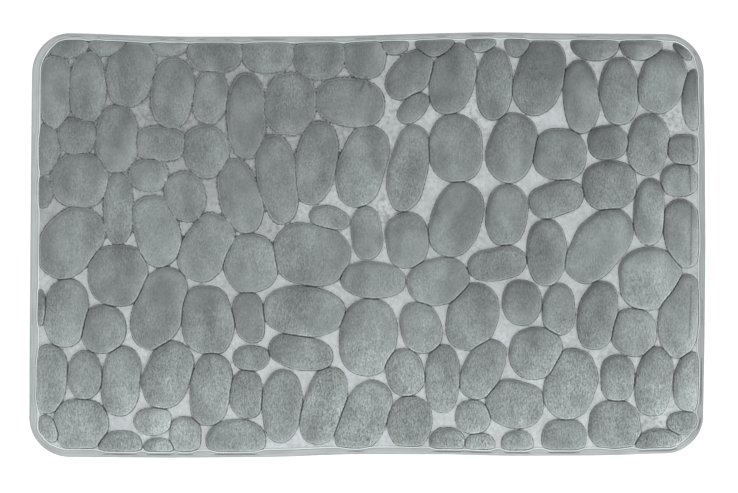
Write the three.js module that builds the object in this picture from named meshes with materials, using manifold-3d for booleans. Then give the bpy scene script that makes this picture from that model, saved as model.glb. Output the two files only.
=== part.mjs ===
// Memory foam bath mat with a pebble relief, in millimetres, +Z up.
//
// The mat is a stack of soft layers held together at the rim. From the floor up: a printed grip
// coat, a base cloth, one foam sheet whose pebbles stand up from a thin pressed web, and a plush
// cover pressed down over the foam. A folded binding closes the rim on all four sides, and a
// lockstitch runs through it: a needle thread on top and a bobbin thread below.
// The origin is on the floor under the middle of the mat.

import * as THREE from 'three';
import { mergeVertices } from 'three/addons/utils/BufferGeometryUtils.js';
import Module from 'manifold-3d';

// Overall size
const MAT_LENGTH = 800;
const MAT_WIDTH = 500;
const CORNER_RADIUS = 46;

// Layers
const COAT_THICKNESS = 1.2;
const BASE_THICKNESS = 0.8;
const FOAM_WEB = 3;
const COVER_THICKNESS = 1.2;
const FIT_GAP = 0.3;             // between soft layers whose faces aren't flat

// Pebbles
const PEBBLE_HEIGHT = 9;         // the crown of a full pebble above the valleys
const FULL_PEBBLE = 44;          // a pebble narrower than this stands lower
const PEBBLE_EXPONENT = 2.3;     // 2 is an ellipse, more is squarer
const SHOULDER_REACH = 0.8;      // the shoulder, as a share of the way out to the pebble's edge
const SHOULDER_HEIGHT = 0.75;    // and its height, as a share of the crown's
const GROOVE = 1.4;              // between two pebbles that press against each other
const PEBBLE_POINTS = 9;
const MIDDLE_MARGIN = 4;         // a pebble's middle stays this far inside the line where they stop
const LEAST_REACH = 1;           // a foam pebble thinner than this is left out

// Binding and its seam
const BINDING_WIDTH = 8.5;
const BINDING_CLOTH = 0.8;
const FOLD_BEVEL = 1;
const BINDING_CLEARANCE = 0.5;   // from the binding's inner edge to the nearest pebble
const COAT_MARGIN = 4;           // from the binding's inner edge to the grip coat
const SEAM_INSET = 2;            // from the binding's inner edge to the middle of the seam
const THREAD_WIDTH = 0.5;
const THREAD_HEIGHT = 0.3;

// Fineness
const CORNER_STEPS = 8;
const TRACE_STEP = 0.001;        // a pebble's edge is found to within this

// The pebbles as they were drawn for a mat of 800 by 500, from the middle of the mat:
// x, y, length, width and the turn of the length from +X in degrees.
const DRAWN_LENGTH = 800;
const DRAWN_WIDTH = 500;
const PEBBLES = [
  // along the top edge
  [-354, 234, 48, 24, 8], [-306, 242, 50, 37, 0], [-280, 206, 86, 56, 77], [-234, 243, 50, 32, 0],
  [-180, 232, 66, 54, 0], [-118, 231, 62, 53, 5], [-57, 227, 62, 60, 90], [-3, 225, 56, 50, 90],
  [32, 241, 34, 32, 0], [80, 243, 50, 44, 0], [135, 243, 38, 34, 0], [178, 241, 40, 33, 90],
  [204, 198, 92, 58, 74], [269, 242, 58, 48, 0], [324, 242, 54, 47, 0], [375, 231, 32, 14, -45],
  // first full row
  [-371, 181, 90, 40, 90], [-332, 187, 84, 43, 88], [-231, 181, 84, 50, 85],
  [-186, 176, 64, 41, 88], [-143, 153, 102, 46, 90], [-91, 168, 75, 60, 82],
  [-20, 169, 82, 58, -8], [50, 201, 66, 46, 48], [54, 162, 46, 27, 47], [101, 196, 86, 54, 76],
  [151, 190, 84, 44, 88], [253, 175, 88, 43, 92], [298, 182, 82, 46, 90], [349, 194, 78, 56, 72],
  [391, 173, 76, 36, 90],
  // second row
  [-382, 113, 60, 34, 85], [-344, 129, 46, 43, 0], [-297, 125, 80, 50, 90],
  [-245, 120, 62, 41, 0], [-191, 111, 63, 52, 100], [-341, 77, 68, 64, 0], [-259, 83, 46, 38, 0],
  [-151, 58, 90, 48, 105], [-106, 78, 106, 47, 99], [-61, 97, 98, 50, 80], [-6, 93, 99, 57, 75],
  [49, 91, 105, 47, 80], [105, 114, 82, 65, 93], [171, 115, 84, 58, 76], [228, 108, 65, 62, 0],
  [285, 122, 47, 41, 0], [332, 119, 75, 50, 84], [376, 113, 42, 40, 0], [369, 77, 45, 38, 0],
  [286, 71, 65, 60, 0], [334, 39, 82, 38, 88],
  // across the middle
  [-389, 62, 36, 30, 90], [-352, 3, 94, 68, 50], [-295, 43, 84, 34, 90], [-216, 58, 60, 47, 105],
  [-250, 16, 86, 54, 103], [-296, -36, 73, 71, 90], [-191, -3, 84, 58, 63],
  [-44, 33, 50, 26, -15], [-1, 14, 65, 38, 93], [-67, -11, 94, 74, -8], [-139, -22, 70, 66, 100],
  [47, 6, 66, 53, 95], [105, 30, 91, 61, 72], [165, 36, 74, 50, 85], [223, 55, 66, 42, 15],
  [212, -8, 80, 47, 90], [274, -1, 100, 62, 52], [374, 14, 84, 46, 95], [335, -40, 76, 74, 0],
  [7, -41, 80, 43, -3], [84, -43, 73, 56, 10], [153, -22, 72, 41, 8], [183, -68, 56, 47, 90],
  // third row
  [-391, -74, 48, 22, 90], [-356, -80, 82, 53, 87], [-313, -100, 58, 53, 90],
  [-247, -75, 102, 62, 70], [-190, -89, 84, 63, 97], [-140, -85, 64, 38, 98],
  [-75, -78, 98, 60, -5], [-138, -134, 45, 30, 0], [-80, -127, 78, 42, -12],
  [1, -109, 94, 69, 84], [63, -98, 64, 48, 108], [124, -85, 82, 60, 72], [44, -151, 58, 46, 100],
  [200, -128, 66, 62, 0], [227, -77, 63, 40, 90], [273, -84, 82, 48, 80], [315, -103, 58, 55, 90],
  [371, -84, 100, 52, 82],
  // fourth row
  [-378, -158, 84, 45, 85], [-335, -153, 58, 41, 90], [-292, -161, 84, 47, 84],
  [-237, -153, 82, 56, 72], [-186, -170, 86, 50, 82], [-143, -176, 58, 41, 88],
  [-101, -190, 86, 48, 86], [-51, -190, 96, 51, 75], [-5, -206, 96, 56, 65],
  [89, -158, 83, 42, 88], [137, -147, 76, 46, 65], [125, -204, 43, 41, 0],
  [175, -188, 70, 57, -8], [240, -164, 86, 62, 78], [296, -158, 56, 42, 92],
  [340, -162, 84, 45, 85], [384, -162, 72, 42, 88],
  // along the bottom edge
  [-379, -217, 34, 24, -60], [-340, -212, 66, 62, 0], [-293, -240, 54, 42, 0],
  [-254, -208, 46, 34, 5], [-246, -241, 40, 28, 0], [-215, -224, 46, 38, 90],
  [-156, -230, 70, 50, 0], [50, -211, 64, 53, 85], [94, -238, 42, 44, 0],
  [132, -242, 40, 40, 0], [177, -238, 40, 40, 0], [233, -230, 54, 48, 0], [293, -214, 64, 62, 0],
  [345, -238, 58, 38, 0], [375, -212, 42, 30, 0],
];

// Heights above the floor
const BASE_BOTTOM = COAT_THICKNESS;
const FOAM_BOTTOM = BASE_BOTTOM + BASE_THICKNESS;
const WEB_TOP = FOAM_BOTTOM + FOAM_WEB;
const VALLEY_TOP = WEB_TOP + COVER_THICKNESS;
const BINDING_BOTTOM = BASE_BOTTOM - BINDING_CLOTH;
const BINDING_TOP = VALLEY_TOP + BINDING_CLOTH;
const LAYER_INSET = BINDING_CLOTH + FIT_GAP;

function material(color, roughness) {
  return new THREE.MeshStandardMaterial({ color, roughness, metalness: 0 });
}

// ---- the outline of the mat -------------------------------------------------------------------

// One turn around the mat, so far in from its edge. Each inset gives as many points as the next.
function rimOutline(inset) {
  const radius = CORNER_RADIUS - inset;
  const x = MAT_LENGTH / 2 - CORNER_RADIUS;
  const y = MAT_WIDTH / 2 - CORNER_RADIUS;
  const corners = [[x, y], [-x, y], [-x, -y], [x, -y]];
  return corners.flatMap(([cornerX, cornerY], quarter) =>
    Array.from({ length: CORNER_STEPS + 1 }, (_, step) => {
      const angle = (quarter + step / CORNER_STEPS) * Math.PI / 2;
      return new THREE.Vector2(cornerX + radius * Math.cos(angle), cornerY + radius * Math.sin(angle));
    }));
}

// The pebbles stop at a line just inside the binding, which turns the mat's corners with this radius.
const LIMIT_RADIUS = CORNER_RADIUS - BINDING_WIDTH - BINDING_CLEARANCE;

// Pulls a point in until it lies at least margin inside that line.
function pulledInside(point, margin) {
  const reach = new THREE.Vector2(MAT_LENGTH / 2 - CORNER_RADIUS, MAT_WIDTH / 2 - CORNER_RADIUS);
  const core = point.clone().clamp(reach.clone().negate(), reach);
  return point.clone().sub(core).clampLength(0, LIMIT_RADIUS - margin).add(core);
}

// ---- the outlines of the pebbles --------------------------------------------------------------

// How far out in a pebble a point lies: 0 in its middle and 1 on its own free edge.
function wayOut([x, y, length, width, turn], point) {
  const drawn = new THREE.Vector2(point.x * DRAWN_LENGTH / MAT_LENGTH, point.y * DRAWN_WIDTH / MAT_WIDTH);
  drawn.sub(new THREE.Vector2(x, y)).rotateAround(new THREE.Vector2(), -THREE.MathUtils.degToRad(turn));
  const along = Math.abs(drawn.x) / (length / 2);
  const across = Math.abs(drawn.y) / (width / 2);
  return (along ** PEBBLE_EXPONENT + across ** PEBBLE_EXPONENT) ** (1 / PEBBLE_EXPONENT);
}

// A pebble ends at its own edge, at the binding, or where a neighbour presses harder than it does.
function holds(pebble, point) {
  const own = wayOut(pebble, point);
  return own <= 1
    && pulledInside(point, 0).distanceTo(point) < 1e-6
    && PEBBLES.every((other) => other === pebble || wayOut(other, point) >= own);
}

// Directions around a pebble, starting along its length.
function directions(turn) {
  return Array.from({ length: PEBBLE_POINTS }, (_, k) => {
    const angle = THREE.MathUtils.degToRad(turn) + k * 2 * Math.PI / PEBBLE_POINTS;
    return new THREE.Vector2(Math.cos(angle), Math.sin(angle));
  });
}

// The pebble's middle, and how far it reaches from there in each direction.
function tracePebble(pebble) {
  const [x, y, length, width, turn] = pebble;
  const drawnMiddle = new THREE.Vector2(x * MAT_LENGTH / DRAWN_LENGTH, y * MAT_WIDTH / DRAWN_WIDTH);
  const middle = pulledInside(drawnMiddle, MIDDLE_MARGIN);
  const reaches = directions(turn).map((direction) => {
    let inside = 0;
    let outside = Math.max(MAT_LENGTH, MAT_WIDTH) / 4;
    while (outside - inside > TRACE_STEP) {
      const half = (inside + outside) / 2;
      if (holds(pebble, middle.clone().addScaledVector(direction, half))) inside = half;
      else outside = half;
    }
    return inside - GROOVE / 2;
  });
  const height = PEBBLE_HEIGHT * Math.sqrt(Math.min(1, Math.min(length, width) / FULL_PEBBLE));
  return { middle, turn, reaches, height };
}

const SKIN = COVER_THICKNESS + FIT_GAP;
const tracedPebbles = PEBBLES.map(tracePebble)
  .filter(({ reaches }) => Math.min(...reaches) > SKIN + LEAST_REACH);

// The same pebble with its sides so far in and its crown so far down.
function shrunk(pebble, sides, crown) {
  const reaches = pebble.reaches.map((reach) => reach - sides);
  return { ...pebble, reaches, height: pebble.height - crown };
}

// ---- solids ---------------------------------------------------------------------------------

const wasm = await Module();
wasm.setup();

// A closed three.js geometry as a solid that can be joined and cut.
function toSolid(geometry) {
  const plain = geometry.clone();
  plain.deleteAttribute('normal');
  plain.deleteAttribute('uv');
  const merged = mergeVertices(plain, 1e-4);
  return new wasm.Manifold(new wasm.Mesh({
    numProp: 3,
    vertProperties: new Float32Array(merged.attributes.position.array),
    triVerts: new Uint32Array(merged.index.array),
  }));
}

function toGeometry(joined) {
  const { vertProperties, triVerts } = joined.getMesh();
  const geometry = new THREE.BufferGeometry();
  geometry.setAttribute('position', new THREE.BufferAttribute(vertProperties, 3));
  geometry.setIndex(new THREE.BufferAttribute(triVerts, 1));
  geometry.computeVertexNormals();
  return geometry;
}

function piece(name, geometry, finish) {
  const mesh = new THREE.Mesh(geometry, finish);
  mesh.name = name;
  return mesh;
}

function atHeight(points, z) {
  return points.map(({ x, y }) => new THREE.Vector3(x, y, z));
}

// Triangles between two rings with as many points. Seen from outside, the rings run anticlockwise
// from above and the lower one comes first.
function band(lower, upper) {
  return lower.flatMap((_, k) => {
    const next = (k + 1) % lower.length;
    return [lower[k], lower[next], upper[next], lower[k], upper[next], upper[k]];
  });
}

// Triangles from such a ring to one point over it.
function cap(ring, point) {
  return ring.flatMap((_, k) => [ring[k], ring[(k + 1) % ring.length], point]);
}

// A flat sheet filling the mat's outline, so far in from its edge.
function slab(inset, bottom, top) {
  const outline = new THREE.Shape(rimOutline(inset));
  const geometry = new THREE.ExtrudeGeometry(outline, { depth: top - bottom, bevelEnabled: false });
  return geometry.translate(0, 0, bottom);
}

// A strip swept once around the mat. Its section is a closed list of [inset, height].
function rimStrip(section) {
  const rings = section.map(([inset, z]) => atHeight(rimOutline(inset), z));
  const points = rings.flatMap((ring, k) => band(ring, rings[(k + 1) % rings.length]));
  return new THREE.BufferGeometry().setFromPoints(points);
}

// A pebble's outline, drawn in to a share of its reach.
function pebbleRing({ middle, turn, reaches }, share, z) {
  return directions(turn).map((direction, k) => {
    const { x, y } = direction.multiplyScalar(share * reaches[k]).add(middle);
    return new THREE.Vector3(x, y, z);
  });
}

// A low dome that stands on a valley, with a straight foot that goes down into what carries it.
function dome(pebble, foot, valley) {
  const { x, y } = pebble.middle;
  const sole = pebbleRing(pebble, 1, foot);
  const edge = pebbleRing(pebble, 1, valley);
  const shoulder = pebbleRing(pebble, SHOULDER_REACH, valley + SHOULDER_HEIGHT * pebble.height);
  return toSolid(new THREE.BufferGeometry().setFromPoints([
    ...cap([...sole].reverse(), new THREE.Vector3(x, y, foot)),
    ...band(sole, edge),
    ...band(edge, shoulder),
    ...cap(shoulder, new THREE.Vector3(x, y, valley + pebble.height)),
  ]));
}

// ---- the pieces -------------------------------------------------------------------------------

const gripRubber = material(0xd9dcda, 0.8);
const baseKnit = material(0xc9cecd, 0.9);
const foam = material(0xf1ecd9, 0.95);
const plush = material(0x838c8b, 1);
const bindingTwill = material(0xbcc4c4, 0.7);
const thread = material(0xaeb7b7, 0.6);

// One sheet with a dome under each pebble of the cover.
function foamCore() {
  const web = toSolid(slab(LAYER_INSET, FOAM_BOTTOM, WEB_TOP));
  const raised = tracedPebbles.reduce((sheet, pebble) =>
    sheet.add(dome(shrunk(pebble, SKIN, FIT_GAP), FOAM_BOTTOM + FOAM_WEB / 2, WEB_TOP)), web);
  return toGeometry(raised);
}

// A cloth as thick everywhere: a dome outside each pebble, and a pocket for the foam inside it.
function topCover() {
  const valleys = toSolid(slab(LAYER_INSET, WEB_TOP, VALLEY_TOP));
  const raised = tracedPebbles.reduce((cloth, pebble) =>
    cloth.add(dome(pebble, WEB_TOP + COVER_THICKNESS / 2, VALLEY_TOP)), valleys);
  const hollowed = tracedPebbles.reduce((cloth, pebble) =>
    cloth.subtract(dome(shrunk(pebble, COVER_THICKNESS, 0), FOAM_BOTTOM, WEB_TOP)), raised);
  return toGeometry(hollowed);
}

// The strip is folded round the rim, with one leg on the cover and the other under the base cloth.
function edgeBinding() {
  return rimStrip([
    [0, BINDING_BOTTOM + FOLD_BEVEL], [0, BINDING_TOP - FOLD_BEVEL],
    [FOLD_BEVEL, BINDING_TOP], [BINDING_WIDTH, BINDING_TOP],
    [BINDING_WIDTH, VALLEY_TOP], [BINDING_CLOTH, VALLEY_TOP],
    [BINDING_CLOTH, BASE_BOTTOM], [BINDING_WIDTH, BASE_BOTTOM],
    [BINDING_WIDTH, BINDING_BOTTOM], [FOLD_BEVEL, BINDING_BOTTOM],
  ]);
}

// A thread as one low bar along the seam, lying on the binding or hanging under it.
function seamThread(bottom) {
  const near = BINDING_WIDTH - SEAM_INSET - THREAD_WIDTH / 2;
  const far = near + THREAD_WIDTH;
  const top = bottom + THREAD_HEIGHT;
  return rimStrip([[near, bottom], [near, top], [far, top], [far, bottom]]);
}

const bathMat = new THREE.Group();
bathMat.add(
  piece('grip_coat', slab(BINDING_WIDTH + COAT_MARGIN, 0, COAT_THICKNESS), gripRubber),
  piece('base_cloth', slab(LAYER_INSET, BASE_BOTTOM, FOAM_BOTTOM), baseKnit),
  piece('foam_core', foamCore(), foam),
  piece('top_cover', topCover(), plush),
  piece('edge_binding', edgeBinding(), bindingTwill),
  piece('needle_thread', seamThread(BINDING_TOP), thread),
  piece('bobbin_thread', seamThread(BINDING_BOTTOM - THREAD_HEIGHT), thread),
);

export default bathMat;
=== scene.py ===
# %% [markdown]
# # A memory foam bath mat with a pebble relief
#
# The real mat is a stack of soft layers: rubber dots printed on a knitted base cloth, a foam
# sheet, and a plush cover that a hot mould presses down over the foam. The mould leaves round
# pebbles of full foam with narrow pressed valleys between them. A satin-faced tape is folded
# round the rim, and one seam goes through all of it.
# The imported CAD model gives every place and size, so it is loaded first. Each layer is then made
# again with its real surface, and stands for its plain CAD solid.

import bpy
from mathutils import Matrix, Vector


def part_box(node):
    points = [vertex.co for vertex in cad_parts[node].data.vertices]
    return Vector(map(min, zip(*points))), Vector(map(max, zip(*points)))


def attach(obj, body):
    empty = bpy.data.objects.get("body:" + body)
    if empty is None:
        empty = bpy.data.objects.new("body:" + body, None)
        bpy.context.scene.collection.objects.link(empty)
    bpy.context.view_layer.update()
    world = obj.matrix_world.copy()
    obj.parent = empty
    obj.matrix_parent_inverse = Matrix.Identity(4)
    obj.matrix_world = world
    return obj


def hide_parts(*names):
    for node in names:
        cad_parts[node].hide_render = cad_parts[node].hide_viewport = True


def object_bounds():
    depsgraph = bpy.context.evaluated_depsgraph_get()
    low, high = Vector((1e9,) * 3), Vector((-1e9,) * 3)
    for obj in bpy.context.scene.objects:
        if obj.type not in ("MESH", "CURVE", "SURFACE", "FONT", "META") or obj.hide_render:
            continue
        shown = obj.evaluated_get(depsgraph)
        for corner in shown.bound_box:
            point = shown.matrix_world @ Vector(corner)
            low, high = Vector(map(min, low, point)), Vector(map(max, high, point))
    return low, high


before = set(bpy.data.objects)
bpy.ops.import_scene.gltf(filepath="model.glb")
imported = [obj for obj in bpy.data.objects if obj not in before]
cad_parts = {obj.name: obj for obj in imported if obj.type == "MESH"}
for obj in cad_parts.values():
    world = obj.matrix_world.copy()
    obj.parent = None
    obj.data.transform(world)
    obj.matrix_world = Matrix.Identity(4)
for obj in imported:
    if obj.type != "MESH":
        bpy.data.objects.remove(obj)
cad_low, cad_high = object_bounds()
print("The mat measures", [round((b - a) * 1000, 1) for a, b in zip(cad_low, cad_high)], "mm")

# %% Libraries and units
import math

import bpy
import numpy as np
from mathutils import Vector
from mathutils.geometry import delaunay_2d_cdt

MM = 0.001      # the script thinks in millimetres, and Blender in metres
SEED = 7
print("made with Blender", bpy.app.version_string)

# %% [markdown]
# ## Sizes
#
# Everything is placed from the boxes of the CAD nodes: how far each layer stays inside the rim,
# and at which height it lies. Only what a box can't tell is a number of its own here, such as the
# radius of the corners and the width of the tape.

# %% Read the sizes from the frame
LENGTH, WIDTH = [(cad_high[k] - cad_low[k]) / MM for k in (0, 1)]
CORNER_RADIUS = 46
BINDING_WIDTH = 8.5
HALF_THREAD = 0.25      # half the width of the seam's plain bar in CAD


def heights(node):
    """The lowest and highest level of a CAD node, in millimetres."""
    low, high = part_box(node)
    return low.z / MM, high.z / MM


def inset_of(node):
    """How far inside the mat's edge a CAD node starts, in millimetres."""
    return (cad_high.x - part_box(node)[1].x) / MM


COAT_BOTTOM, COAT_TOP = heights("grip_coat")
BASE_BOTTOM, BASE_TOP = heights("base_cloth")
BINDING_BOTTOM, BINDING_TOP = heights("edge_binding")
WEB_TOP, CROWN = heights("top_cover")
TAPE = BASE_BOTTOM - BINDING_BOTTOM
VALLEY = BINDING_TOP - TAPE
COVER = VALLEY - WEB_TOP
PEBBLE_HEIGHT = CROWN - VALLEY
LAYER_INSET = inset_of("top_cover")
COAT_INSET = inset_of("grip_coat")
SEAM_INSET = BINDING_WIDTH - inset_of("needle_thread") - HALF_THREAD
print(f"valley {VALLEY:.1f}, crown {CROWN:.1f}, cover {COVER:.1f}, seam {SEAM_INSET:.2f} mm")

# %% [markdown]
# ## The camera comes first
#
# The mat is looked at from straight above, with its length across the view. A long lens from
# over two metres keeps the rim of the relief from leaning outwards.

# %% Make the camera
VIEW_WIDTH = 871.4
VIEW_CENTRE = (1.8, -1.5)
VIEW_DISTANCE = 2200
camera = bpy.data.objects.new("camera", bpy.data.cameras.new("camera"))
bpy.context.scene.collection.objects.link(camera)
camera.data.sensor_width = 36
camera.data.lens = camera.data.sensor_width * (VIEW_DISTANCE - CROWN) / VIEW_WIDTH
camera.location = (VIEW_CENTRE[0] * MM, VIEW_CENTRE[1] * MM, VIEW_DISTANCE * MM)
bpy.context.scene.camera = camera
print("lens", round(camera.data.lens, 1), "mm")

# %% [markdown]
# ## Soft random hills
#
# Cloth never lies exactly even. Many small departures below, from the wander of a pebble's edge to
# the crumples in a valley, come from one helper: random heights on a coarse grid, blended
# smoothly. A fixed seed for each use gives the same mat on every run.

# %% Random hills
HILL_TABLE = 128


def hills(x, y, size, seed):
    """Smooth random values from -1 to 1, whose hills are about size millimetres across."""
    table = np.random.default_rng(SEED * 1000 + seed).uniform(-1, 1, (HILL_TABLE, HILL_TABLE))
    column, row = np.floor(x / size), np.floor(y / size)
    across, up = x / size - column, y / size - row
    across, up = across * across * (3 - 2 * across), up * up * (3 - 2 * up)
    i, j = column.astype(int) % HILL_TABLE, row.astype(int) % HILL_TABLE
    after_i, after_j = (i + 1) % HILL_TABLE, (j + 1) % HILL_TABLE
    low = table[i, j] * (1 - across) + table[after_i, j] * across
    high = table[i, after_j] * (1 - across) + table[after_i, after_j] * across
    return low * (1 - up) + high * up


print("hills at 0, 10 and 20 mm:", np.round(hills(np.array([0, 10, 20]), np.zeros(3), 20, 0), 2))


# %% A smooth step
def ease(value, start, end):
    """0 before start, 1 after end, and a smooth rise between them."""
    t = np.clip((value - start) / (end - start), 0, 1)
    return t * t * (3 - 2 * t)


print("a quarter of the way up, the step has reached", round(ease(0.25, 0, 1), 2))

# %% [markdown]
# ## The rim
#
# The rim is a rectangle with rounded corners. A hand-guided binder doesn't follow it exactly, so
# the tape is wider on the left, its inner edge wanders, and the whole edge drifts in and out by a
# few millimetres. The drift is a small push that every layer gets at the end, so that the layers
# still fit each other.

# %% Distances from the rim
def rim_inset(x, y):
    """How far inside the mat's plain outline each point lies."""
    past_x = np.abs(x) - (LENGTH / 2 - CORNER_RADIUS)
    past_y = np.abs(y) - (WIDTH / 2 - CORNER_RADIUS)
    outside = np.hypot(np.maximum(past_x, 0), np.maximum(past_y, 0))
    return CORNER_RADIUS - outside - np.minimum(np.maximum(past_x, past_y), 0)


print("the middle of the mat lies", rim_inset(np.zeros(1), np.zeros(1))[0], "mm inside the rim")


# %% The way round the rim
def rim_path(inset, step):
    """Points once round the mat at that inset, anticlockwise, and the way out at each."""
    radius = CORNER_RADIUS - inset
    half_x, half_y = LENGTH / 2 - CORNER_RADIUS, WIDTH / 2 - CORNER_RADIUS
    sides = [2 * half_x, 2 * half_y]
    turn = math.pi / 2 * CORNER_RADIUS
    points, ways = [], []
    corners = [(half_x, half_y), (-half_x, half_y), (-half_x, -half_y), (half_x, -half_y)]
    for quarter, (cx, cy) in enumerate(corners):
        bends = max(3, round(turn / step))
        for k in range(bends):
            angle = (quarter + k / bends) * math.pi / 2
            way = (math.cos(angle), math.sin(angle))
            points.append((cx + radius * way[0], cy + radius * way[1]))
            ways.append(way)
        side = sides[quarter % 2]
        angle = (quarter + 1) * math.pi / 2
        way = (math.cos(angle), math.sin(angle))
        count = max(2, round(side / step))
        for k in range(count):
            along = side * k / count
            points.append((cx + radius * way[0] - way[1] * along, cy + radius * way[1] + way[0] * along))
            ways.append(way)
    return np.array(points), np.array(ways)


plain_rim, _ = rim_path(0, 10)
print(len(plain_rim), "steps of 10 mm once round the rim")

# %% Let the edge drift
# Each list holds places along a side and how far the edge there lies outside the plain outline.
TOP_DRIFT = [(-400, 1.5), (-350, 1.8), (-290, -0.5), (-230, -2.5), (-30, -2), (60, 1), (150, 3),
             (215, 1.4), (300, 1), (400, 0)]
BOTTOM_DRIFT = [(-400, 0.5), (-350, 1.2), (-230, 2.2), (-100, 1.2), (-30, -2), (110, -1.8), (150, 0),
                (285, -0.4), (357, -3.4), (400, -2.5)]
LEFT_DRIFT = [(-250, 1.2), (-150, 1), (0, 0), (120, -1), (250, -2.6)]
RIGHT_DRIFT = [(-250, -2.4), (-120, 0), (0, 1.2), (110, 0.6), (250, -1.6)]
DRIFT_REACH = 70


def drifted(x, y):
    """The same points, pushed in or out near the rim as the real edge wanders."""
    def along(drift, place):
        places, amounts = zip(*drift)
        soft = sum(np.interp(place + shift, places, amounts) for shift in (-24, -8, 8, 24))
        return soft / 4

    up = ease(y, WIDTH / 2 - DRIFT_REACH, WIDTH / 2) * along(TOP_DRIFT, x)
    down = ease(-y, WIDTH / 2 - DRIFT_REACH, WIDTH / 2) * along(BOTTOM_DRIFT, x)
    right = ease(x, LENGTH / 2 - DRIFT_REACH, LENGTH / 2) * along(RIGHT_DRIFT, y)
    left = ease(-x, LENGTH / 2 - DRIFT_REACH, LENGTH / 2) * along(LEFT_DRIFT, y)
    return x + right - left, y + up - down


strayed = np.hypot(*(np.array(drifted(*plain_rim.T)) - plain_rim.T))
print("the edge strays up to", round(strayed.max(), 1), "mm from the plain outline")

# %% [markdown]
# ## The pebbles
#
# The mould's pebbles follow no pattern, so they are a given list: the middle of each pebble
# from the middle of the mat, its length and width, and the turn of its length. It is the same
# list that the CAD part uses, so the soft cover lands on its collision solid.

# %% List the pebbles: x, y, length, width, turn
PEBBLES = [
    # along the top edge
    (-354, 234, 48, 24, 8), (-306, 242, 50, 37, 0), (-280, 206, 86, 56, 77), (-234, 243, 50, 32, 0),
    (-180, 232, 66, 54, 0), (-118, 231, 62, 53, 5), (-57, 227, 62, 60, 90), (-3, 225, 56, 50, 90),
    (32, 241, 34, 32, 0), (80, 243, 50, 44, 0), (135, 243, 38, 34, 0), (178, 241, 40, 33, 90),
    (204, 198, 92, 58, 74), (269, 242, 58, 48, 0), (324, 242, 54, 47, 0), (375, 231, 32, 14, -45),
    # first full row
    (-371, 181, 90, 40, 90), (-332, 187, 84, 43, 88), (-231, 181, 84, 50, 85),
    (-186, 176, 64, 41, 88), (-143, 153, 102, 46, 90), (-91, 168, 75, 60, 82),
    (-20, 169, 82, 58, -8), (50, 201, 66, 46, 48), (54, 162, 46, 27, 47), (101, 196, 86, 54, 76),
    (151, 190, 84, 44, 88), (253, 175, 88, 43, 92), (298, 182, 82, 46, 90), (349, 194, 78, 56, 72),
    (391, 173, 76, 36, 90),
    # second row
    (-382, 113, 60, 34, 85), (-344, 129, 46, 43, 0), (-297, 125, 80, 50, 90),
    (-245, 120, 62, 41, 0), (-191, 111, 63, 52, 100), (-341, 77, 68, 64, 0), (-259, 83, 46, 38, 0),
    (-151, 58, 90, 48, 105), (-106, 78, 106, 47, 99), (-61, 97, 98, 50, 80), (-6, 93, 99, 57, 75),
    (49, 91, 105, 47, 80), (105, 114, 82, 65, 93), (171, 115, 84, 58, 76), (228, 108, 65, 62, 0),
    (285, 122, 47, 41, 0), (332, 119, 75, 50, 84), (376, 113, 42, 40, 0), (369, 77, 45, 38, 0),
    (286, 71, 65, 60, 0), (334, 39, 82, 38, 88),
    # across the middle
    (-389, 62, 36, 30, 90), (-352, 3, 94, 68, 50), (-295, 43, 84, 34, 90), (-216, 58, 60, 47, 105),
    (-250, 16, 86, 54, 103), (-296, -36, 73, 71, 90), (-191, -3, 84, 58, 63),
    (-44, 33, 50, 26, -15), (-1, 14, 65, 38, 93), (-67, -11, 94, 74, -8), (-139, -22, 70, 66, 100),
    (47, 6, 66, 53, 95), (105, 30, 91, 61, 72), (165, 36, 74, 50, 85), (223, 55, 66, 42, 15),
    (212, -8, 80, 47, 90), (274, -1, 100, 62, 52), (374, 14, 84, 46, 95), (335, -40, 76, 74, 0),
    (7, -41, 80, 43, -3), (84, -43, 73, 56, 10), (153, -22, 72, 41, 8), (183, -68, 56, 47, 90),
    # third row
    (-391, -74, 48, 22, 90), (-356, -80, 82, 53, 87), (-313, -100, 58, 53, 90),
    (-247, -75, 102, 62, 70), (-190, -89, 84, 63, 97), (-140, -85, 64, 38, 98),
    (-75, -78, 98, 60, -5), (-138, -134, 45, 30, 0), (-80, -127, 78, 42, -12),
    (1, -109, 94, 69, 84), (63, -98, 64, 48, 108), (124, -85, 82, 60, 72), (44, -151, 58, 46, 100),
    (200, -128, 66, 62, 0), (227, -77, 63, 40, 90), (273, -84, 82, 48, 80), (315, -103, 58, 55, 90),
    (371, -84, 100, 52, 82),
    # fourth row
    (-378, -158, 84, 45, 85), (-335, -153, 58, 41, 90), (-292, -161, 84, 47, 84),
    (-237, -153, 82, 56, 72), (-186, -170, 86, 50, 82), (-143, -176, 58, 41, 88),
    (-101, -190, 86, 48, 86), (-51, -190, 96, 51, 75), (-5, -206, 96, 56, 65),
    (89, -158, 83, 42, 88), (137, -147, 76, 46, 65), (125, -204, 43, 41, 0),
    (175, -188, 70, 57, -8), (240, -164, 86, 62, 78), (296, -158, 56, 42, 92),
    (340, -162, 84, 45, 85), (384, -162, 72, 42, 88),
    # along the bottom edge
    (-379, -217, 34, 24, -60), (-340, -212, 66, 62, 0), (-293, -240, 54, 42, 0),
    (-254, -208, 46, 34, 5), (-246, -241, 40, 28, 0), (-215, -224, 46, 38, 90),
    (-156, -230, 70, 50, 0), (50, -211, 64, 53, 85), (94, -238, 42, 44, 0),
    (132, -242, 40, 40, 0), (177, -238, 40, 40, 0), (233, -230, 54, 48, 0), (293, -214, 64, 62, 0),
    (345, -238, 58, 38, 0), (375, -212, 42, 30, 0),
]
print(len(PEBBLES), "pebbles")

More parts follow.
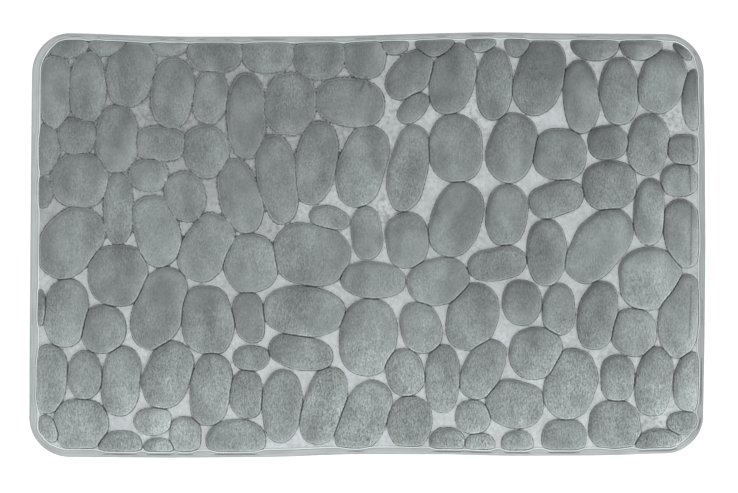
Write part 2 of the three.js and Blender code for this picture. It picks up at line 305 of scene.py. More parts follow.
# %% [markdown]
# ## The outline of a pebble
#
# A pebble could be drawn as a ring of points, but its neighbours press on it, and then both
# outlines would have to be kept in step. Here each pebble is a soft rule instead: a number that
# grows from 0 in its middle to 1 on its free edge. Where two pebbles want the same spot, the one
# with the smaller number has it, which gives the curved creases that foam makes where it meets.
# A random wander of about a millimetre keeps the edges from looking drawn with a template.

# %% The rule of a pebble
SQUARENESS = 2.35       # 2 is an ellipse, more is squarer
WANDER = 1.5
FINE_WANDER = 0.35


def way_out(pebble, x, y):
    """0 in the middle of the pebble, 1 on its free edge."""
    cx, cy, length, width, turn = pebble
    angle = math.radians(turn)
    x = x + WANDER * hills(x, y, 23, 3) + FINE_WANDER * hills(x, y, 8, 4)
    y = y + WANDER * hills(x, y, 21, 5) + FINE_WANDER * hills(x, y, 8, 6)
    along = ((x - cx) * math.cos(angle) + (y - cy) * math.sin(angle)) / (length / 2)
    across = ((y - cy) * math.cos(angle) - (x - cx) * math.sin(angle)) / (width / 2)
    return (np.abs(along) ** SQUARENESS + np.abs(across) ** SQUARENESS) ** (1 / SQUARENESS)


def rounded(outline, rounds=2):
    """The closed outline with its corners softened."""
    for _ in range(rounds):
        outline = 0.5 * outline + 0.25 * np.roll(outline, 1, 0) + 0.25 * np.roll(outline, -1, 0)
    return outline


first_middle = np.array(PEBBLES[0][:2], float)[:, None]
print(f"the rule gives {way_out(PEBBLES[0], *first_middle)[0]:.2f} in the first pebble's middle")

# %% [markdown]
# ## How wide the tape lies
#
# Tape that is sewn over a relief isn't even: it gives way where a pebble swells against it and
# creeps in between two of them, which makes the scalloped inner edge. So before the pebbles are
# cut off at the tape, their rules are asked how hard they push, all the way round the mat.

# %% Let the pebbles push the tape back
LEFT_EXTRA = 1.9        # the left side was guided wider
FULL_PUSH = 0.28        # how far inside its edge a pebble pushes as hard as it can
PUSHED_MOST = 2.9
CREPT_MOST = 1.1


def way_round(x, y):
    """The direction of the nearest stretch of rim, as an angle that grows once round the mat."""
    across, up = x / (LENGTH / 2), y / (WIDTH / 2)
    by_short_side = LENGTH / 2 - np.abs(x) < WIDTH / 2 - np.abs(y)
    to_side = np.where(by_short_side, np.sign(across), across)
    to_top = np.where(by_short_side, up, np.sign(up))
    return np.arctan2(to_top, to_side)


def pushed_back():
    """Angles round the mat, and how hard a pebble pushes against the tape there, from 0 to 1."""
    line, _ = rim_path(BINDING_WIDTH + 0.5, 2.5)
    nearest = np.min([way_out(pebble, *line.T) for pebble in PEBBLES], 0)
    push = rounded(ease(1 - nearest, 0, FULL_PUSH)[:, None], 3)[:, 0]
    angles = way_round(*line.T)
    order = np.argsort(angles)
    return angles[order], push[order]


def tape_width(x, y):
    """How far in the binding reaches: less beside a pebble, and more between two of them."""
    wide_left = LEFT_EXTRA * ease(-x, LENGTH / 2 - 30, LENGTH / 2 - 8)
    push = np.interp(way_round(x, y), *tape_push, period=2 * math.pi)
    reach = 0.45 + 0.6 * ease(-y, 0, WIDTH / 2)
    wander = 0.45 * hills(x, y, 38, 1) + 0.2 * hills(x, y, 11, 2)
    return BINDING_WIDTH + wide_left + reach * (CREPT_MOST - PUSHED_MOST * push) + wander


tape_push = pushed_back()
widths = tape_width(*rim_path(0, 5)[0].T)
print("the tape is", round(widths.min(), 1), "to", round(widths.max(), 1), "mm wide")

# %% [markdown]
# ## Trace the outlines
#
# A rule says only whether a spot is inside. The outline itself is found by halving: along each of
# many rays from the pebble's middle, the edge lies between a spot inside and one outside, and the
# gap between the two is halved until it is far below a millimetre.

# %% Ask the rules
HALF_CREASE = 0.4       # half the width of the crease between two pebbles
TAPE_CLEARANCE = 0.4
NEIGHBOUR_GAP = 6


def near_pebbles(pebble):
    """The pebbles that might press on this one."""
    def gap(other):
        return math.hypot(other[0] - pebble[0], other[1] - pebble[1]) - (other[2] + pebble[2]) / 2

    return [other for other in PEBBLES if other is not pebble and gap(other) < NEIGHBOUR_GAP]


def inside_pebble(pebble, neighbours, x, y):
    own = way_out(pebble, x, y)
    held = (own <= 1) & (rim_inset(x, y) > tape_width(x, y) + TAPE_CLEARANCE)
    for other in neighbours:
        held &= way_out(other, x, y) >= own
    return held


print("pebble 1 may touch", len(near_pebbles(PEBBLES[0])), "others")

# %% Halve along the rays
OUTLINE_STEP = 2.4
RAYS = 96
LONGEST_RAY = 70.0
HALVINGS = 13
EDGE_ROOM = 5           # the rays start at least so far inside the tape
EDGE_ZONE = 40


def evenly_spaced(outline, step):
    """The closed outline with its points so far apart along it."""
    closed = np.vstack([outline, outline[:1]])
    run = np.concatenate([[0], np.cumsum(np.hypot(*np.diff(closed, axis=0).T))])
    count = max(8, round(run[-1] / step))
    places = np.arange(count) * run[-1] / count
    return np.stack([np.interp(places, run, closed[:, k]) for k in (0, 1)], 1)


def trace(pebble):
    """The pebble's outline, found by halving along rays from its middle."""
    neighbours = near_pebbles(pebble)
    middle = np.array(pebble[:2], float)
    room = rim_inset(middle[0], middle[1]) - BINDING_WIDTH - EDGE_ROOM
    if room < 0:
        in_zone = np.abs(middle) > [LENGTH / 2 - EDGE_ZONE, WIDTH / 2 - EDGE_ZONE]
        middle -= room * -np.sign(middle) * in_zone
    angles = np.linspace(0, 2 * math.pi, RAYS, endpoint=False)
    ways = np.stack([np.cos(angles), np.sin(angles)], 1)
    inside, outside = np.zeros(RAYS), np.full(RAYS, LONGEST_RAY)
    for _ in range(HALVINGS):
        half = (inside + outside) / 2
        at = middle + ways * half[:, None]
        held = inside_pebble(pebble, neighbours, at[:, 0], at[:, 1])
        inside, outside = np.where(held, half, inside), np.where(held, outside, half)
    outline = middle + ways * np.maximum(inside - HALF_CREASE, 0.5)[:, None]
    return evenly_spaced(rounded(evenly_spaced(outline, OUTLINE_STEP)), OUTLINE_STEP)


outlines = [trace(pebble) for pebble in PEBBLES]
print(sum(len(outline) for outline in outlines), "points on all outlines")

# %% [markdown]
# ## The height of the cover
#
# The cover is described by one function of place: flat with faint crumples in a valley, and on a
# pebble a steep side, a round shoulder and a low crown. All that the function needs to know is the
# pebble that a point lies in and how far it is from that pebble's outline.

# %% Find the pebble and the distance to its edge
LOOK_AROUND = 12        # outlines further off than this don't matter
FAR_AWAY = 50.0


def distance_to(outline, x, y):
    """The distance from each point to a closed outline, and whether the point lies inside it."""
    start, end = outline, np.roll(outline, -1, 0)
    side = end - start
    from_start = np.stack([x, y], 1)[:, None] - start[None]
    share = np.clip((from_start * side).sum(2) / (side * side).sum(1), 0, 1)
    gap = np.hypot(*np.moveaxis(from_start - share[..., None] * side, 2, 0)).min(1)
    crosses = (start[None, :, 1] > y[:, None]) != (end[None, :, 1] > y[:, None])
    rise = np.where(np.abs(side[:, 1]) < 1e-9, 1e-9, side[:, 1])
    at_x = start[:, 0] + (y[:, None] - start[None, :, 1]) * side[:, 0] / rise
    return gap, (crosses & (x[:, None] < at_x)).sum(1) % 2 == 1


def locate(x, y):
    """For each point: its pebble's number or -1, the signed distance inside the nearest outline, and
    the distance to the nearest outline of another pebble."""
    owner = np.full(len(x), -1)
    depth = np.full(len(x), -FAR_AWAY)
    other = np.full(len(x), FAR_AWAY)
    for number, outline in enumerate(outlines):
        low, high = outline.min(0) - LOOK_AROUND, outline.max(0) + LOOK_AROUND
        near = np.flatnonzero((x > low[0]) & (x < high[0]) & (y > low[1]) & (y < high[1]))
        if len(near) == 0:
            continue
        gap, within = distance_to(outline, x[near], y[near])
        within |= gap < 1e-6
        owner[near[within]] = number
        depth[near] = np.maximum(depth[near], np.where(within, gap, -gap))
        other[near] = np.where(within, other[near], np.minimum(other[near], gap))
    return owner, depth, other


found, _, _ = locate(*np.array(PEBBLES)[:, :2].T)
print((found >= 0).sum(), "pebbles hold their listed middle, and the tape covers that of the others")

# %% Crumples in the valleys
# Places where the pressed cloth has gathered in crumples: x, y and reach.
CRUMPLES = [(-10, 150, 42), (-330, 215, 60), (-250, 145, 45), (355, 150, 26), (340, -205, 24),
            (120, 150, 30), (-100, 20, 26), (300, -200, 18), (20, 40, 20), (-120, 190, 24)]
CRUMPLE_HEIGHT = 0.55
SUNK = 0.25             # how far the pressed cloth lies below the level that CAD gives


def near_places(places, x, y):
    """The sum of soft spots: each is as strong as its last number and fades over its reach."""
    total = np.zeros(np.shape(x))
    for cx, cy, reach, strength in places:
        total = total + strength * np.exp(-((x - cx) ** 2 + (y - cy) ** 2) / reach ** 2)
    return total


def crumple_amount(x, y):
    """How crumpled the pressed cloth is, from 0 to 1."""
    amount = 0.25 + 0.25 * hills(x, y, 60, 8)
    return np.clip(amount + near_places([(*place, 0.9) for place in CRUMPLES], x, y), 0, 1)


def valley_height(x, y):
    """Folds as sharp ridges where the random hills change sign."""
    ridges = (1 - np.abs(hills(x, y, 9, 9))) ** 4 + 0.7 * (1 - np.abs(hills(x, y, 5, 10))) ** 4
    return VALLEY - SUNK + crumple_amount(x, y) * CRUMPLE_HEIGHT * ridges + 0.15 * hills(x, y, 14, 11)


print(len(CRUMPLES), "crumpled places")

# %% Folds pressed into the pebbles
# Lines from x, y to x, y.
FOLDS = [(382, 52, 381, -22), (382, -48, 380, -108), (384, 128, 385, 100), (380, 92, 381, 64),
         (396, -110, 395, -60), (358, 150, 366, 138), (-8, 183, -2, 199), (-2, 199, 4, 186)]
FOLD_DEPTH = 0.9
FOLD_WIDTH = 1.1


def fold_marks(x, y):
    """1 on a fold line, fading to 0 beside it."""
    mark = np.zeros(np.shape(x))
    for x0, y0, x1, y1 in FOLDS:
        run = (x1 - x0) ** 2 + (y1 - y0) ** 2
        share = np.clip(((x - x0) * (x1 - x0) + (y - y0) * (y1 - y0)) / run, 0, 1)
        gap = np.hypot(x - x0 - share * (x1 - x0), y - y0 - share * (y1 - y0))
        mark = np.maximum(mark, np.exp(-(gap / FOLD_WIDTH) ** 2))
    return mark


print(len(FOLDS), "pressed folds")

# %% How high each pebble swells
FULL_PEBBLE = 44        # pebbles at least this wide swell to the full height
FULL_RADIUS = 16


def inner_radius(outline):
    """How far the middle of an outline lies from its edge."""
    middle = outline.mean(0)
    return distance_to(outline, middle[:1], middle[1:])[0][0]


inradius = np.array([inner_radius(outline) for outline in outlines])
smaller_side = np.array([min(length, width) for _, _, length, width, _ in PEBBLES])
crown = PEBBLE_HEIGHT * np.sqrt(np.minimum(1, smaller_side / FULL_PEBBLE))
crown *= 0.55 + 0.45 * np.minimum(1, inradius / FULL_RADIUS)
print("crowns from", round(crown.min(), 1), "to", round(crown.max(), 1), "mm")

# %% The whole stack under the folded tape
FOLD_REACH = 4.2        # how far in the rounded fold of the tape reaches
MID_HEIGHT = (VALLEY + BASE_BOTTOM) / 2


def pressed(x, y, level):
    """A level of the stack, squeezed towards the middle where the tape folds round the rim."""
    fold = np.clip((FOLD_REACH - rim_inset(x, y)) / (FOLD_REACH - TAPE), 0, 0.96)
    return MID_HEIGHT + (level - MID_HEIGHT) * np.sqrt(1 - fold ** 2)


print(f"the fold of the tape is centred {MID_HEIGHT:.2f} mm above the floor")

# %% The height at any place
SHOULDER_WIDTH = 5.5
SHOULDER_SHARE = 0.62
CREASE_FLOOR = 0.74     # pebbles that touch are parted only down to this share of the shoulder
UNDER_PEBBLE = 0.6      # how far below the valley a pebble's side starts


def quarter_round(share):
    return np.sqrt(1 - (1 - np.clip(share, 0, 1)) ** 2)


def cover_height(x, y, owner, depth, other):
    """The height of the cover's face above the floor."""
    own = np.maximum(owner, 0)
    side = quarter_round(depth / np.minimum(SHOULDER_WIDTH, 0.6 * inradius[own]))
    touching = CREASE_FLOOR * (1 - ease(other, 1.2, 5.0))
    side = touching + (1 - touching) * side
    top = quarter_round(depth / np.maximum(inradius[own], 5))
    dome = crown[own] * (SHOULDER_SHARE * side + (1 - SHOULDER_SHARE) * top)
    uneven = 0.35 * hills(x, y, 17, 12) * ease(depth, 1, 6) - FOLD_DEPTH * fold_marks(x, y)
    ground = np.where(owner < 0, valley_height(x, y), VALLEY - UNDER_PEBBLE)
    return pressed(x, y, ground + np.where(owner >= 0, dome + uneven, 0))


middles = np.array(PEBBLES)[:, :2].T
print(f"the middles of the pebbles lie {cover_height(*middles, *locate(*middles)).mean():.1f} mm high")

# %% [markdown]
# ## A closed sheet from points
#
# A square grid would cut the steep sides of the pebbles into steps. Instead the points follow the
# outlines in rings, close together on the steep side and further apart on the crown, and a
# Delaunay triangulation joins them. The same triangles are used twice, for the face and for the
# back, with a wall round the edge, so that each layer is a real cloth with a thickness.

# %% Rings of points and scattered points
RINGS = (0.45, 1.2, 2.5, 4.4, 7.0)
FINE_RINGS = 3          # the rings after these have every second point
OUTER_RING = 0.9
RIM_INSETS = (1.8, 2.8, 4.2, 6.2)
RIM_CLEAR = 7.5         # scattered points keep this far from the mat's edge


def scattered(step, seed):
    """A grid over the mat with each point moved a little, so that no rows show."""
    rng = np.random.default_rng(SEED * 1000 + seed)
    x, y = np.meshgrid(np.arange(-LENGTH / 2, LENGTH / 2, step), np.arange(-WIDTH / 2, WIDTH / 2, step))
    spots = np.stack([x.ravel(), y.ravel()], 1)
    return spots + rng.uniform(-0.3, 0.3, spots.shape) * step


def way_in(outline):
    """The direction into the outline at each of its points."""
    forward = np.roll(outline, -1, 0) - np.roll(outline, 1, 0)
    return np.stack([-forward[:, 1], forward[:, 0]], 1) / np.hypot(*forward.T)[:, None]


def inward_rings(outline, insets):
    """Copies of the outline moved inwards, without the points that would crowd each other."""
    kept = []
    for number, inset in enumerate(insets):
        ring = outline + way_in(outline) * inset
        if number >= FINE_RINGS:
            ring = ring[::2]
        gap, within = distance_to(outline, ring[:, 0], ring[:, 1])
        kept.append(ring[within & (gap > 0.8 * inset)])
    return kept


def outer_ring(outline):
    """The outline moved out into the valley, where there is one."""
    ring = outline - way_in(outline) * OUTER_RING
    _, depth, _ = locate(*ring.T)
    return ring[(depth < -0.75 * OUTER_RING) & (rim_inset(*ring.T) > RIM_CLEAR)]


first_rings = inward_rings(outlines[0], RINGS)
print(sum(len(ring) for ring in first_rings), "points in the rings of the first pebble")

# %% All points of the cover
CROWN_STEP = 4.2
VALLEY_STEP = 2.5
RIM_STEP = 2.6
FOLD_LINES = (-1.2, 0, 1.2)     # lines of points along a pressed fold


def closed_lines(first, count):
    """Lines between neighbours of a closed ring of points, by number."""
    return [(first + k, first + (k + 1) % count) for k in range(count)]


def fold_points():
    """Points on both sides of each pressed fold."""
    groups = []
    for x0, y0, x1, y1 in FOLDS:
        length = math.hypot(x1 - x0, y1 - y0)
        share = np.linspace(0, 1, max(4, round(length / 2)))[:, None]
        line = np.array([[x0, y0]]) * (1 - share) + np.array([[x1, y1]]) * share
        aside = np.array([[y0 - y1, x1 - x0]]) / length
        groups += [line + aside * gap for gap in FOLD_LINES]
    return groups


def filling_points():
    """Scattered points on the crowns and in the valleys."""
    on_crowns, in_valleys = scattered(CROWN_STEP, 21), scattered(VALLEY_STEP, 22)
    _, depth, _ = locate(*on_crowns.T)
    on_crowns = on_crowns[(depth > RINGS[-1] + 2) & (fold_marks(*on_crowns.T) < 0.01)]
    _, depth, _ = locate(*in_valleys.T)
    in_valleys = in_valleys[(depth < -2) & (rim_inset(*in_valleys.T) > RIM_CLEAR)]
    return [on_crowns, in_valleys]


def relief_points():
    """Every point of the cover in plan, with the lines that the triangles must keep."""
    groups = [rim_path(LAYER_INSET, RIM_STEP)[0]]
    lines = closed_lines(0, len(groups[0]))
    for outline in outlines:
        lines += closed_lines(sum(len(group) for group in groups), len(outline))
        groups += [outline, *inward_rings(outline, RINGS), outer_ring(outline)]
    groups += [rim_path(inset, 3.2)[0] for inset in RIM_INSETS]
    return np.vstack(groups + fold_points() + filling_points()), lines


cover_points, kept_lines = relief_points()
print(len(cover_points), "points and", len(kept_lines), "lines to keep")

# %% Join them with triangles
def triangulated(points, lines):
    """The points that were kept and the triangles between them."""
    found = delaunay_2d_cdt([Vector(p) for p in points], lines, [], 1, 1e-4)
    return np.array([tuple(p) for p in found[0]]), np.array([tuple(f) for f in found[2]])


cover_plan, cover_triangles = triangulated(cover_points, kept_lines)
print(len(cover_plan), "points and", len(cover_triangles), "triangles in the cover's face")

# %% Build a sheet with a face, a back and an edge
def new_object(name, vertices, faces):
    """A mesh object from points in millimetres. Every layer gets the same drift of its edge."""
    vertices = np.array(vertices, float)
    vertices[:, 0], vertices[:, 1] = drifted(vertices[:, 0], vertices[:, 1])
    mesh = bpy.data.meshes.new(name)
    mesh.from_pydata((vertices * MM).tolist(), [], faces)
    mesh.polygons.foreach_set("use_smooth", [True] * len(mesh.polygons))
    mesh.update()
    made = bpy.data.objects.new(name, mesh)
    bpy.context.scene.collection.objects.link(made)
    return made


def open_edges(triangles):
    """The directed edges that only one triangle has, which lie on the rim."""
    edges = np.concatenate([triangles[:, [0, 1]], triangles[:, [1, 2]], triangles[:, [2, 0]]])
    known = set(map(tuple, edges.tolist()))
    return sorted(edge for edge in known if edge[::-1] not in known)


def closed_sheet(name, plan, triangles, face, back):
    """A layer with its face and back at the given heights over the same plan."""
    count = len(plan)
    vertices = np.vstack([np.column_stack([plan, face]), np.column_stack([plan, back])])
    walls = [(a + count, b + count, b, a) for a, b in open_edges(triangles)]
    faces = triangles.tolist() + (triangles[:, ::-1] + count).tolist() + walls
    return new_object(name, vertices, faces)


def paint(made, name, values):
    """Keeps one number for each point of the mesh, for a material to read."""
    layer = made.data.attributes.new(name, "FLOAT", "POINT")
    layer.data.foreach_set("value", np.asarray(values, np.float32))


print(len(open_edges(cover_triangles)), "edges round the cover's rim")

# %% [markdown]
# ## Blow up the cover
#
# Heat pressing leaves the pebbles of a real mat slightly slack, so they swell unevenly and pucker
# near their edges. A formula can't guess that, so a plain grid of the cover is given to Blender's
# cloth solver: the valleys are pinned, the cloth is a little too long, and air pressure fills
# the pebbles. Only how far the cloth rises is kept. It is capped, because the foam holds the cloth
# up from below and the mat may not outgrow its box, and then added to the fine mesh.

# %% A plain grid of cloth with its valleys pinned
SIM_STEP = 3.0
SIM_FRAMES = 20
SIM_PRESSURE = 4.0
SLACK = 0.035
PINNED_DEPTH = 1.8      # the cloth is held up to here inside a pebble's outline


def cloth_grid():
    """A square grid over the mat, its points in millimetres, its squares, and its numbers of lines."""
    columns, rows = int(LENGTH / SIM_STEP) + 1, int(WIDTH / SIM_STEP) + 1
    x, y = np.meshgrid(np.linspace(-LENGTH / 2, LENGTH / 2, columns),
                       np.linspace(-WIDTH / 2, WIDTH / 2, rows))
    corner = (np.arange(rows - 1)[:, None] * columns + np.arange(columns - 1)).ravel()
    squares = np.stack([corner, corner + 1, corner + 1 + columns, corner + columns], 1)
    return x.ravel(), y.ravel(), squares, rows, columns


def slack_cloth(points, squares, pinned):
    """A try piece with a cloth modifier, held at the pinned points."""
    mesh = bpy.data.meshes.new("cloth_try")
    mesh.from_pydata((points * MM).tolist(), [], squares.tolist())
    cloth_try = bpy.data.objects.new("cloth_try", mesh)
    bpy.context.scene.collection.objects.link(cloth_try)
    held = cloth_try.vertex_groups.new(name="held")
    held.add(np.flatnonzero(pinned).tolist(), 1.0, "REPLACE")
    cloth = cloth_try.modifiers.new("cloth", "CLOTH")
    stiffness = {"tension_stiffness": 12, "compression_stiffness": 12, "shear_stiffness": 4,
                 "bending_stiffness": 0.4}
    for name, value in stiffness.items():
        setattr(cloth.settings, name, value)
    cloth.settings.quality = 4
    cloth.settings.mass = 0.001
    cloth.settings.shrink_min = -SLACK
    cloth.settings.use_pressure = True
    cloth.settings.uniform_pressure_force = SIM_PRESSURE
    cloth.settings.effector_weights.gravity = 0
    cloth.settings.vertex_group_mass = "held"
    cloth.collision_settings.use_collision = False
    cloth.point_cache.frame_start = 1
    cloth.point_cache.frame_end = SIM_FRAMES
    return cloth_try


grid_x, grid_y, grid_squares, grid_rows, grid_columns = cloth_grid()
print("the try piece has", grid_rows, "by", grid_columns, "points")

# %% Let the air in and keep the rise
MOST_RISE = 1.5
MOST_DROP = 0.25


def simulated_rise():
    """How far the pinned cover rises in millimetres with air pressure under it, on the grid."""
    owner, depth, other = locate(grid_x, grid_y)
    start = np.column_stack([grid_x, grid_y, cover_height(grid_x, grid_y, owner, depth, other)])
    cloth_try = slack_cloth(start, grid_squares, depth < PINNED_DEPTH)
    for number in range(1, SIM_FRAMES + 1):
        bpy.context.scene.frame_set(number)
    result = cloth_try.evaluated_get(bpy.context.evaluated_depsgraph_get())
    end = np.empty(len(start) * 3, np.float32)
    result.data.vertices.foreach_get("co", end)
    rise = np.nan_to_num(end.reshape(-1, 3) / MM - start)[:, 2]
    bpy.data.objects.remove(cloth_try)
    bpy.context.scene.frame_set(1)
    rise = MOST_RISE * np.tanh(rise / MOST_RISE)
    rise = np.where(rise < 0, MOST_DROP * np.tanh(rise / MOST_DROP), rise)
    print(f"the cloth rose up to {rise.max():.2f} mm, {np.median(rise[depth > 4]):.2f} mm at most places")
    return rise.reshape(grid_rows, grid_columns)


def rise_at(rise, x, y):
    """The rise at any point, blended from the grid."""
    rows, columns = rise.shape
    u = np.clip((x / LENGTH + 0.5) * (columns - 1), 0, columns - 1.001)
    v = np.clip((y / WIDTH + 0.5) * (rows - 1), 0, rows - 1.001)
    i, j = u.astype(int), v.astype(int)
    u, v = u - i, v - j
    low = rise[j, i] * (1 - u) + rise[j, i + 1] * u
    high = rise[j + 1, i] * (1 - u) + rise[j + 1, i + 1] * u
    return low * (1 - v) + high * v


# %% Make the cover
x, y = cover_plan.T
owner, depth, other = locate(x, y)
face = cover_height(x, y, owner, depth, other)
face = face + rise_at(simulated_rise(), x, y) * ease(depth, 0.3, 3.5)
thickness = (COVER - 0.05) * (pressed(x, y, VALLEY) - MID_HEIGHT) / (VALLEY - MID_HEIGHT)
cover = closed_sheet("plush_cover", cover_plan, cover_triangles, face, face - thickness)
print("the cover's face spans", round(face.min(), 2), "to", round(face.max(), 2), "mm")

# %% [markdown]
# ## How the pile lies, and the painted light and shade on it
#
# Plush changes its grey with the way its pile lies: random tone, brushed places, and valleys that
# are pressed only half flat. Much of the grey is painted light and shade instead. The key lamp
# stands at the near right corner, so every pebble gets painted shade on its far left shoulder and a
# painted highlight rim on its near right one, the mat is painted lighter towards the near edge and
# the right side, and painted shade lies along the pebbles' edges, darkest where they touch. All of
# it is painted on the mesh as numbers: the distance to the pebble's edge, how strong the painted
# edge shade and the painted rim highlight are there, how ragged the edge of the pile is, and how
# light the cloth is.

# %% Where the pile is brushed and half pressed
# Places where a hand has brushed the pile: x, y, reach, and how much lighter or darker it is there.
BRUSHED = [(391, 173, 24, -0.38), (376, 113, 20, -0.3), (369, 77, 18, -0.2), (318, -135, 45, -0.2),
           (345, -238, 24, -0.25), (80, 243, 30, -0.2), (-391, -74, 16, -0.2), (137, -147, 26, -0.15),
           (228, 108, 30, -0.15), (233, -230, 30, -0.15), (385, -215, 24, -0.2), (101, 196, 26, -0.1),
           (-235, 243, 26, 0.35), (177, -238, 22, 0.35), (-237, -153, 28, 0.25), (-186, -170, 26, 0.2),
           (-240, -232, 40, 0.15), (151, 190, 28, 0.15), (-240, 130, 60, 0.15), (-160, 125, 40, 0.15),
           (335, -40, 32, 0.2), (293, -200, 12, 0.25), (47, -150, 16, 0.15), (377, 232, 18, -0.35),
           (371, -84, 24, 0.12), (383, -150, 22, 0.08)]


def brushed(x, y):
    """The factor of all brushed places together."""
    factor = np.ones(len(x))
    for place in BRUSHED:
        factor *= 1 + near_places([place], x, y)
    return factor


def far_left(x, y):
    """1 in the far left part, where the mould has pressed the valleys only half flat."""
    return ease(-x + 0.5 * y + 40 * hills(x, y, 70, 62), 10, 220) * ease(y, -70, 110)


print("brushing changes the grey by factors from", round(brushed(x, y).min(), 2), "to",
      round(brushed(x, y).max(), 2))

# %% How light the cloth is, with painted light and shade
LAMP_WAY = np.array([0.55, -0.83])      # the way towards the key lamp, which sets the painted shade and highlight
TONE_SPREAD = 0.07
pebble_tone = np.random.default_rng(SEED).uniform(-TONE_SPREAD, TONE_SPREAD, len(PEBBLES))


def towards_lamp(x, y, owner):
    """How far towards the key lamp a point lies in its pebble: by direction alone, and by place."""
    own = np.maximum(owner, 0)
    middles = np.array([outline.mean(0) for outline in outlines])[own]
    outward = np.stack([x, y], 1) - middles
    facing = (outward @ LAMP_WAY) / np.maximum(np.hypot(*outward.T), 1e-6)
    across = np.clip((outward @ LAMP_WAY) / (inradius[own] + 4), -1.5, 1.5)
    return facing, across


def lightness(x, y, owner, depth):
    """The factor on the plain grey of pile or pressed cloth at each point: its own tone, brushed places and
    half-pressed valleys, and painted light and shade from the key lamp.
    """
    facing, across = towards_lamp(x, y, owner)
    to_right = ease(x, 60, 330)
    # painted light: lighter towards the near edge and the right side, where the key lamp stands, and darker
    # at the far side
    light = 1 + 0.25 * ease(-y, 20, 215) - 0.13 * ease(y, 20, 215) + 0.24 * ease(x, 270, 370)
    # painted light across each pebble, lighter on its side towards the lamp, and each pebble's own random
    # tone
    light *= 1 + pebble_tone[np.maximum(owner, 0)] + (0.03 + 0.08 * to_right) * across
    # painted shade on the shoulders turned away from the lamp, strongest on the right and far side
    shoulder = 1 - ease(depth + 1.5 * hills(x, y, 12, 63), 0.5, 10)
    shade = 0.03 + 0.27 * to_right * ease(y, -200, 60)
    light *= 1 - shade * np.clip(0.25 - facing, 0, 1) * shoulder
    # painted highlight on the shoulders turned to the lamp
    light *= 0.95 + 0.17 * np.clip(0.5 + facing, 0, 1) * shoulder
    # painted shade in the pressed folds, and the brushed places
    light *= (1 - 0.45 * fold_marks(x, y)) * brushed(x, y)
    # in the valleys: painted light towards the near edge, darker where pressed only half flat, and random
    # tone
    valley = 1 + 0.16 * ease(-y, 30, 200) - 0.3 * far_left(x, y) + 0.05 * hills(x, y, 40, 61)
    return np.where(owner < 0, valley, light)


light = lightness(x, y, owner, depth)
print("lightness from", round(light.min(), 2), "to", round(light.max(), 2))

# %% Paint the lie of the pile and its painted light and shade
FUZZ = 1.0              # how many millimetres the edge of the standing pile strays
FAR_LEFT_FUZZ = 9.0
PAINTED_DEPTH = 12


def edge_shade_strength(x, y, owner, other):
    """How strong the painted shade along a pebble's edge is: all where pebbles touch, and some on a free
    edge, more on its side towards the key lamp.
    """
    facing, _ = towards_lamp(x, y, owner)
    free_edge = (0.38 + 0.24 * facing) * (1 - 0.6 * far_left(x, y)) * (0.8 + 0.5 * hills(x, y, 24, 64))
    touching = (1 - ease(other, 1.2, 3.0)) * np.clip(0.95 + 0.35 * hills(x, y, 24, 65), 0, 1)
    return np.maximum(touching, free_edge)


painted_numbers = {
    "depth": np.clip(depth, -PAINTED_DEPTH, PAINTED_DEPTH),
    # painted shade along the pebbles' edges, darkest where they touch
    "edge_shade": edge_shade_strength(x, y, owner, other),
    # a painted highlight rim, strongest on the side towards the key lamp
    "rim_highlight": np.clip(0.5 + 0.5 * towards_lamp(x, y, owner)[0], 0.15, 1),
    "fuzz": FUZZ + FAR_LEFT_FUZZ * far_left(x, y),
    "nap": 0.7 + 0.35 * hills(x, y, 48, 66) + 0.55 * ease(-y, 0, 220),
    "lightness": light,
    # how crumpled the valleys are, which also sets their specks of painted shade
    "crumple": np.where(owner < 0, crumple_amount(x, y), 0)}
for name, values in painted_numbers.items():
    paint(cover, name, np.tile(values, 2))
print("painted", ", ".join(painted_numbers))

# %% [markdown]
# ## The foam core
#
# Memory foam is cut from one block. The mould presses it to a thin web in the valleys and leaves it
# full in the pebbles. Its pebbles are the cover's, drawn in so far that the cloth has room, so it
# is made by the same height function from fewer points.

# %% Points for the foam
FOAM_DRAWN_IN = 2.2
FOAM_RINGS = (2.9, 4.6, 8.0)
FOAM_STEP = 5
FOAM_RIM_INSETS = (LAYER_INSET, 2.2, 4.2)


def foam_points():
    """Every point of the foam in plan, the rim's first."""
    drawn_in = [ring for outline in outlines for ring in inward_rings(outline, (FOAM_DRAWN_IN,))]
    rings = [ring[::2] for outline in outlines for ring in inward_rings(outline, FOAM_RINGS)]
    spots = scattered(8, 31)
    spots = spots[rim_inset(*spots.T) > 6]
    _, depth, _ = locate(*spots.T)
    spots = spots[(depth > 10) | (depth < -1)]
    rims = [rim_path(inset, FOAM_STEP)[0] for inset in FOAM_RIM_INSETS]
    return np.vstack([*rims, *drawn_in, *rings, spots]), closed_lines(0, len(rims[0]))


foam_plan, foam_triangles = triangulated(*foam_points())
print(len(foam_plan), "points in the foam's face")

# %% Make the foam
FOAM_GAP = 0.4          # air between the foam and the cloth
THINNEST_FOAM = 0.1
x, y = foam_plan.T
owner, depth, other = locate(x, y)
owner = np.where(depth < FOAM_DRAWN_IN + 0.01, -1, owner)
under_cover = cover_height(x, y, owner, depth - FOAM_DRAWN_IN, other + FOAM_DRAWN_IN + 3)
foam_back = pressed(x, y, np.full(len(x), BASE_TOP))
foam_face = np.maximum(under_cover - COVER - FOAM_GAP, foam_back + THINNEST_FOAM)
foam = closed_sheet("foam_sheet", foam_plan, foam_triangles, foam_face, foam_back)
print("the foam is up to", round((foam_face - foam_back).max(), 1), "mm thick")

# %% [markdown]
# ## The base cloth
#
# A warp knit closes the underside. It is a flat cloth that curls up a little at the rim, where the
# tape holds it. Its knit is far finer than its mesh, so the knit is left to the material.

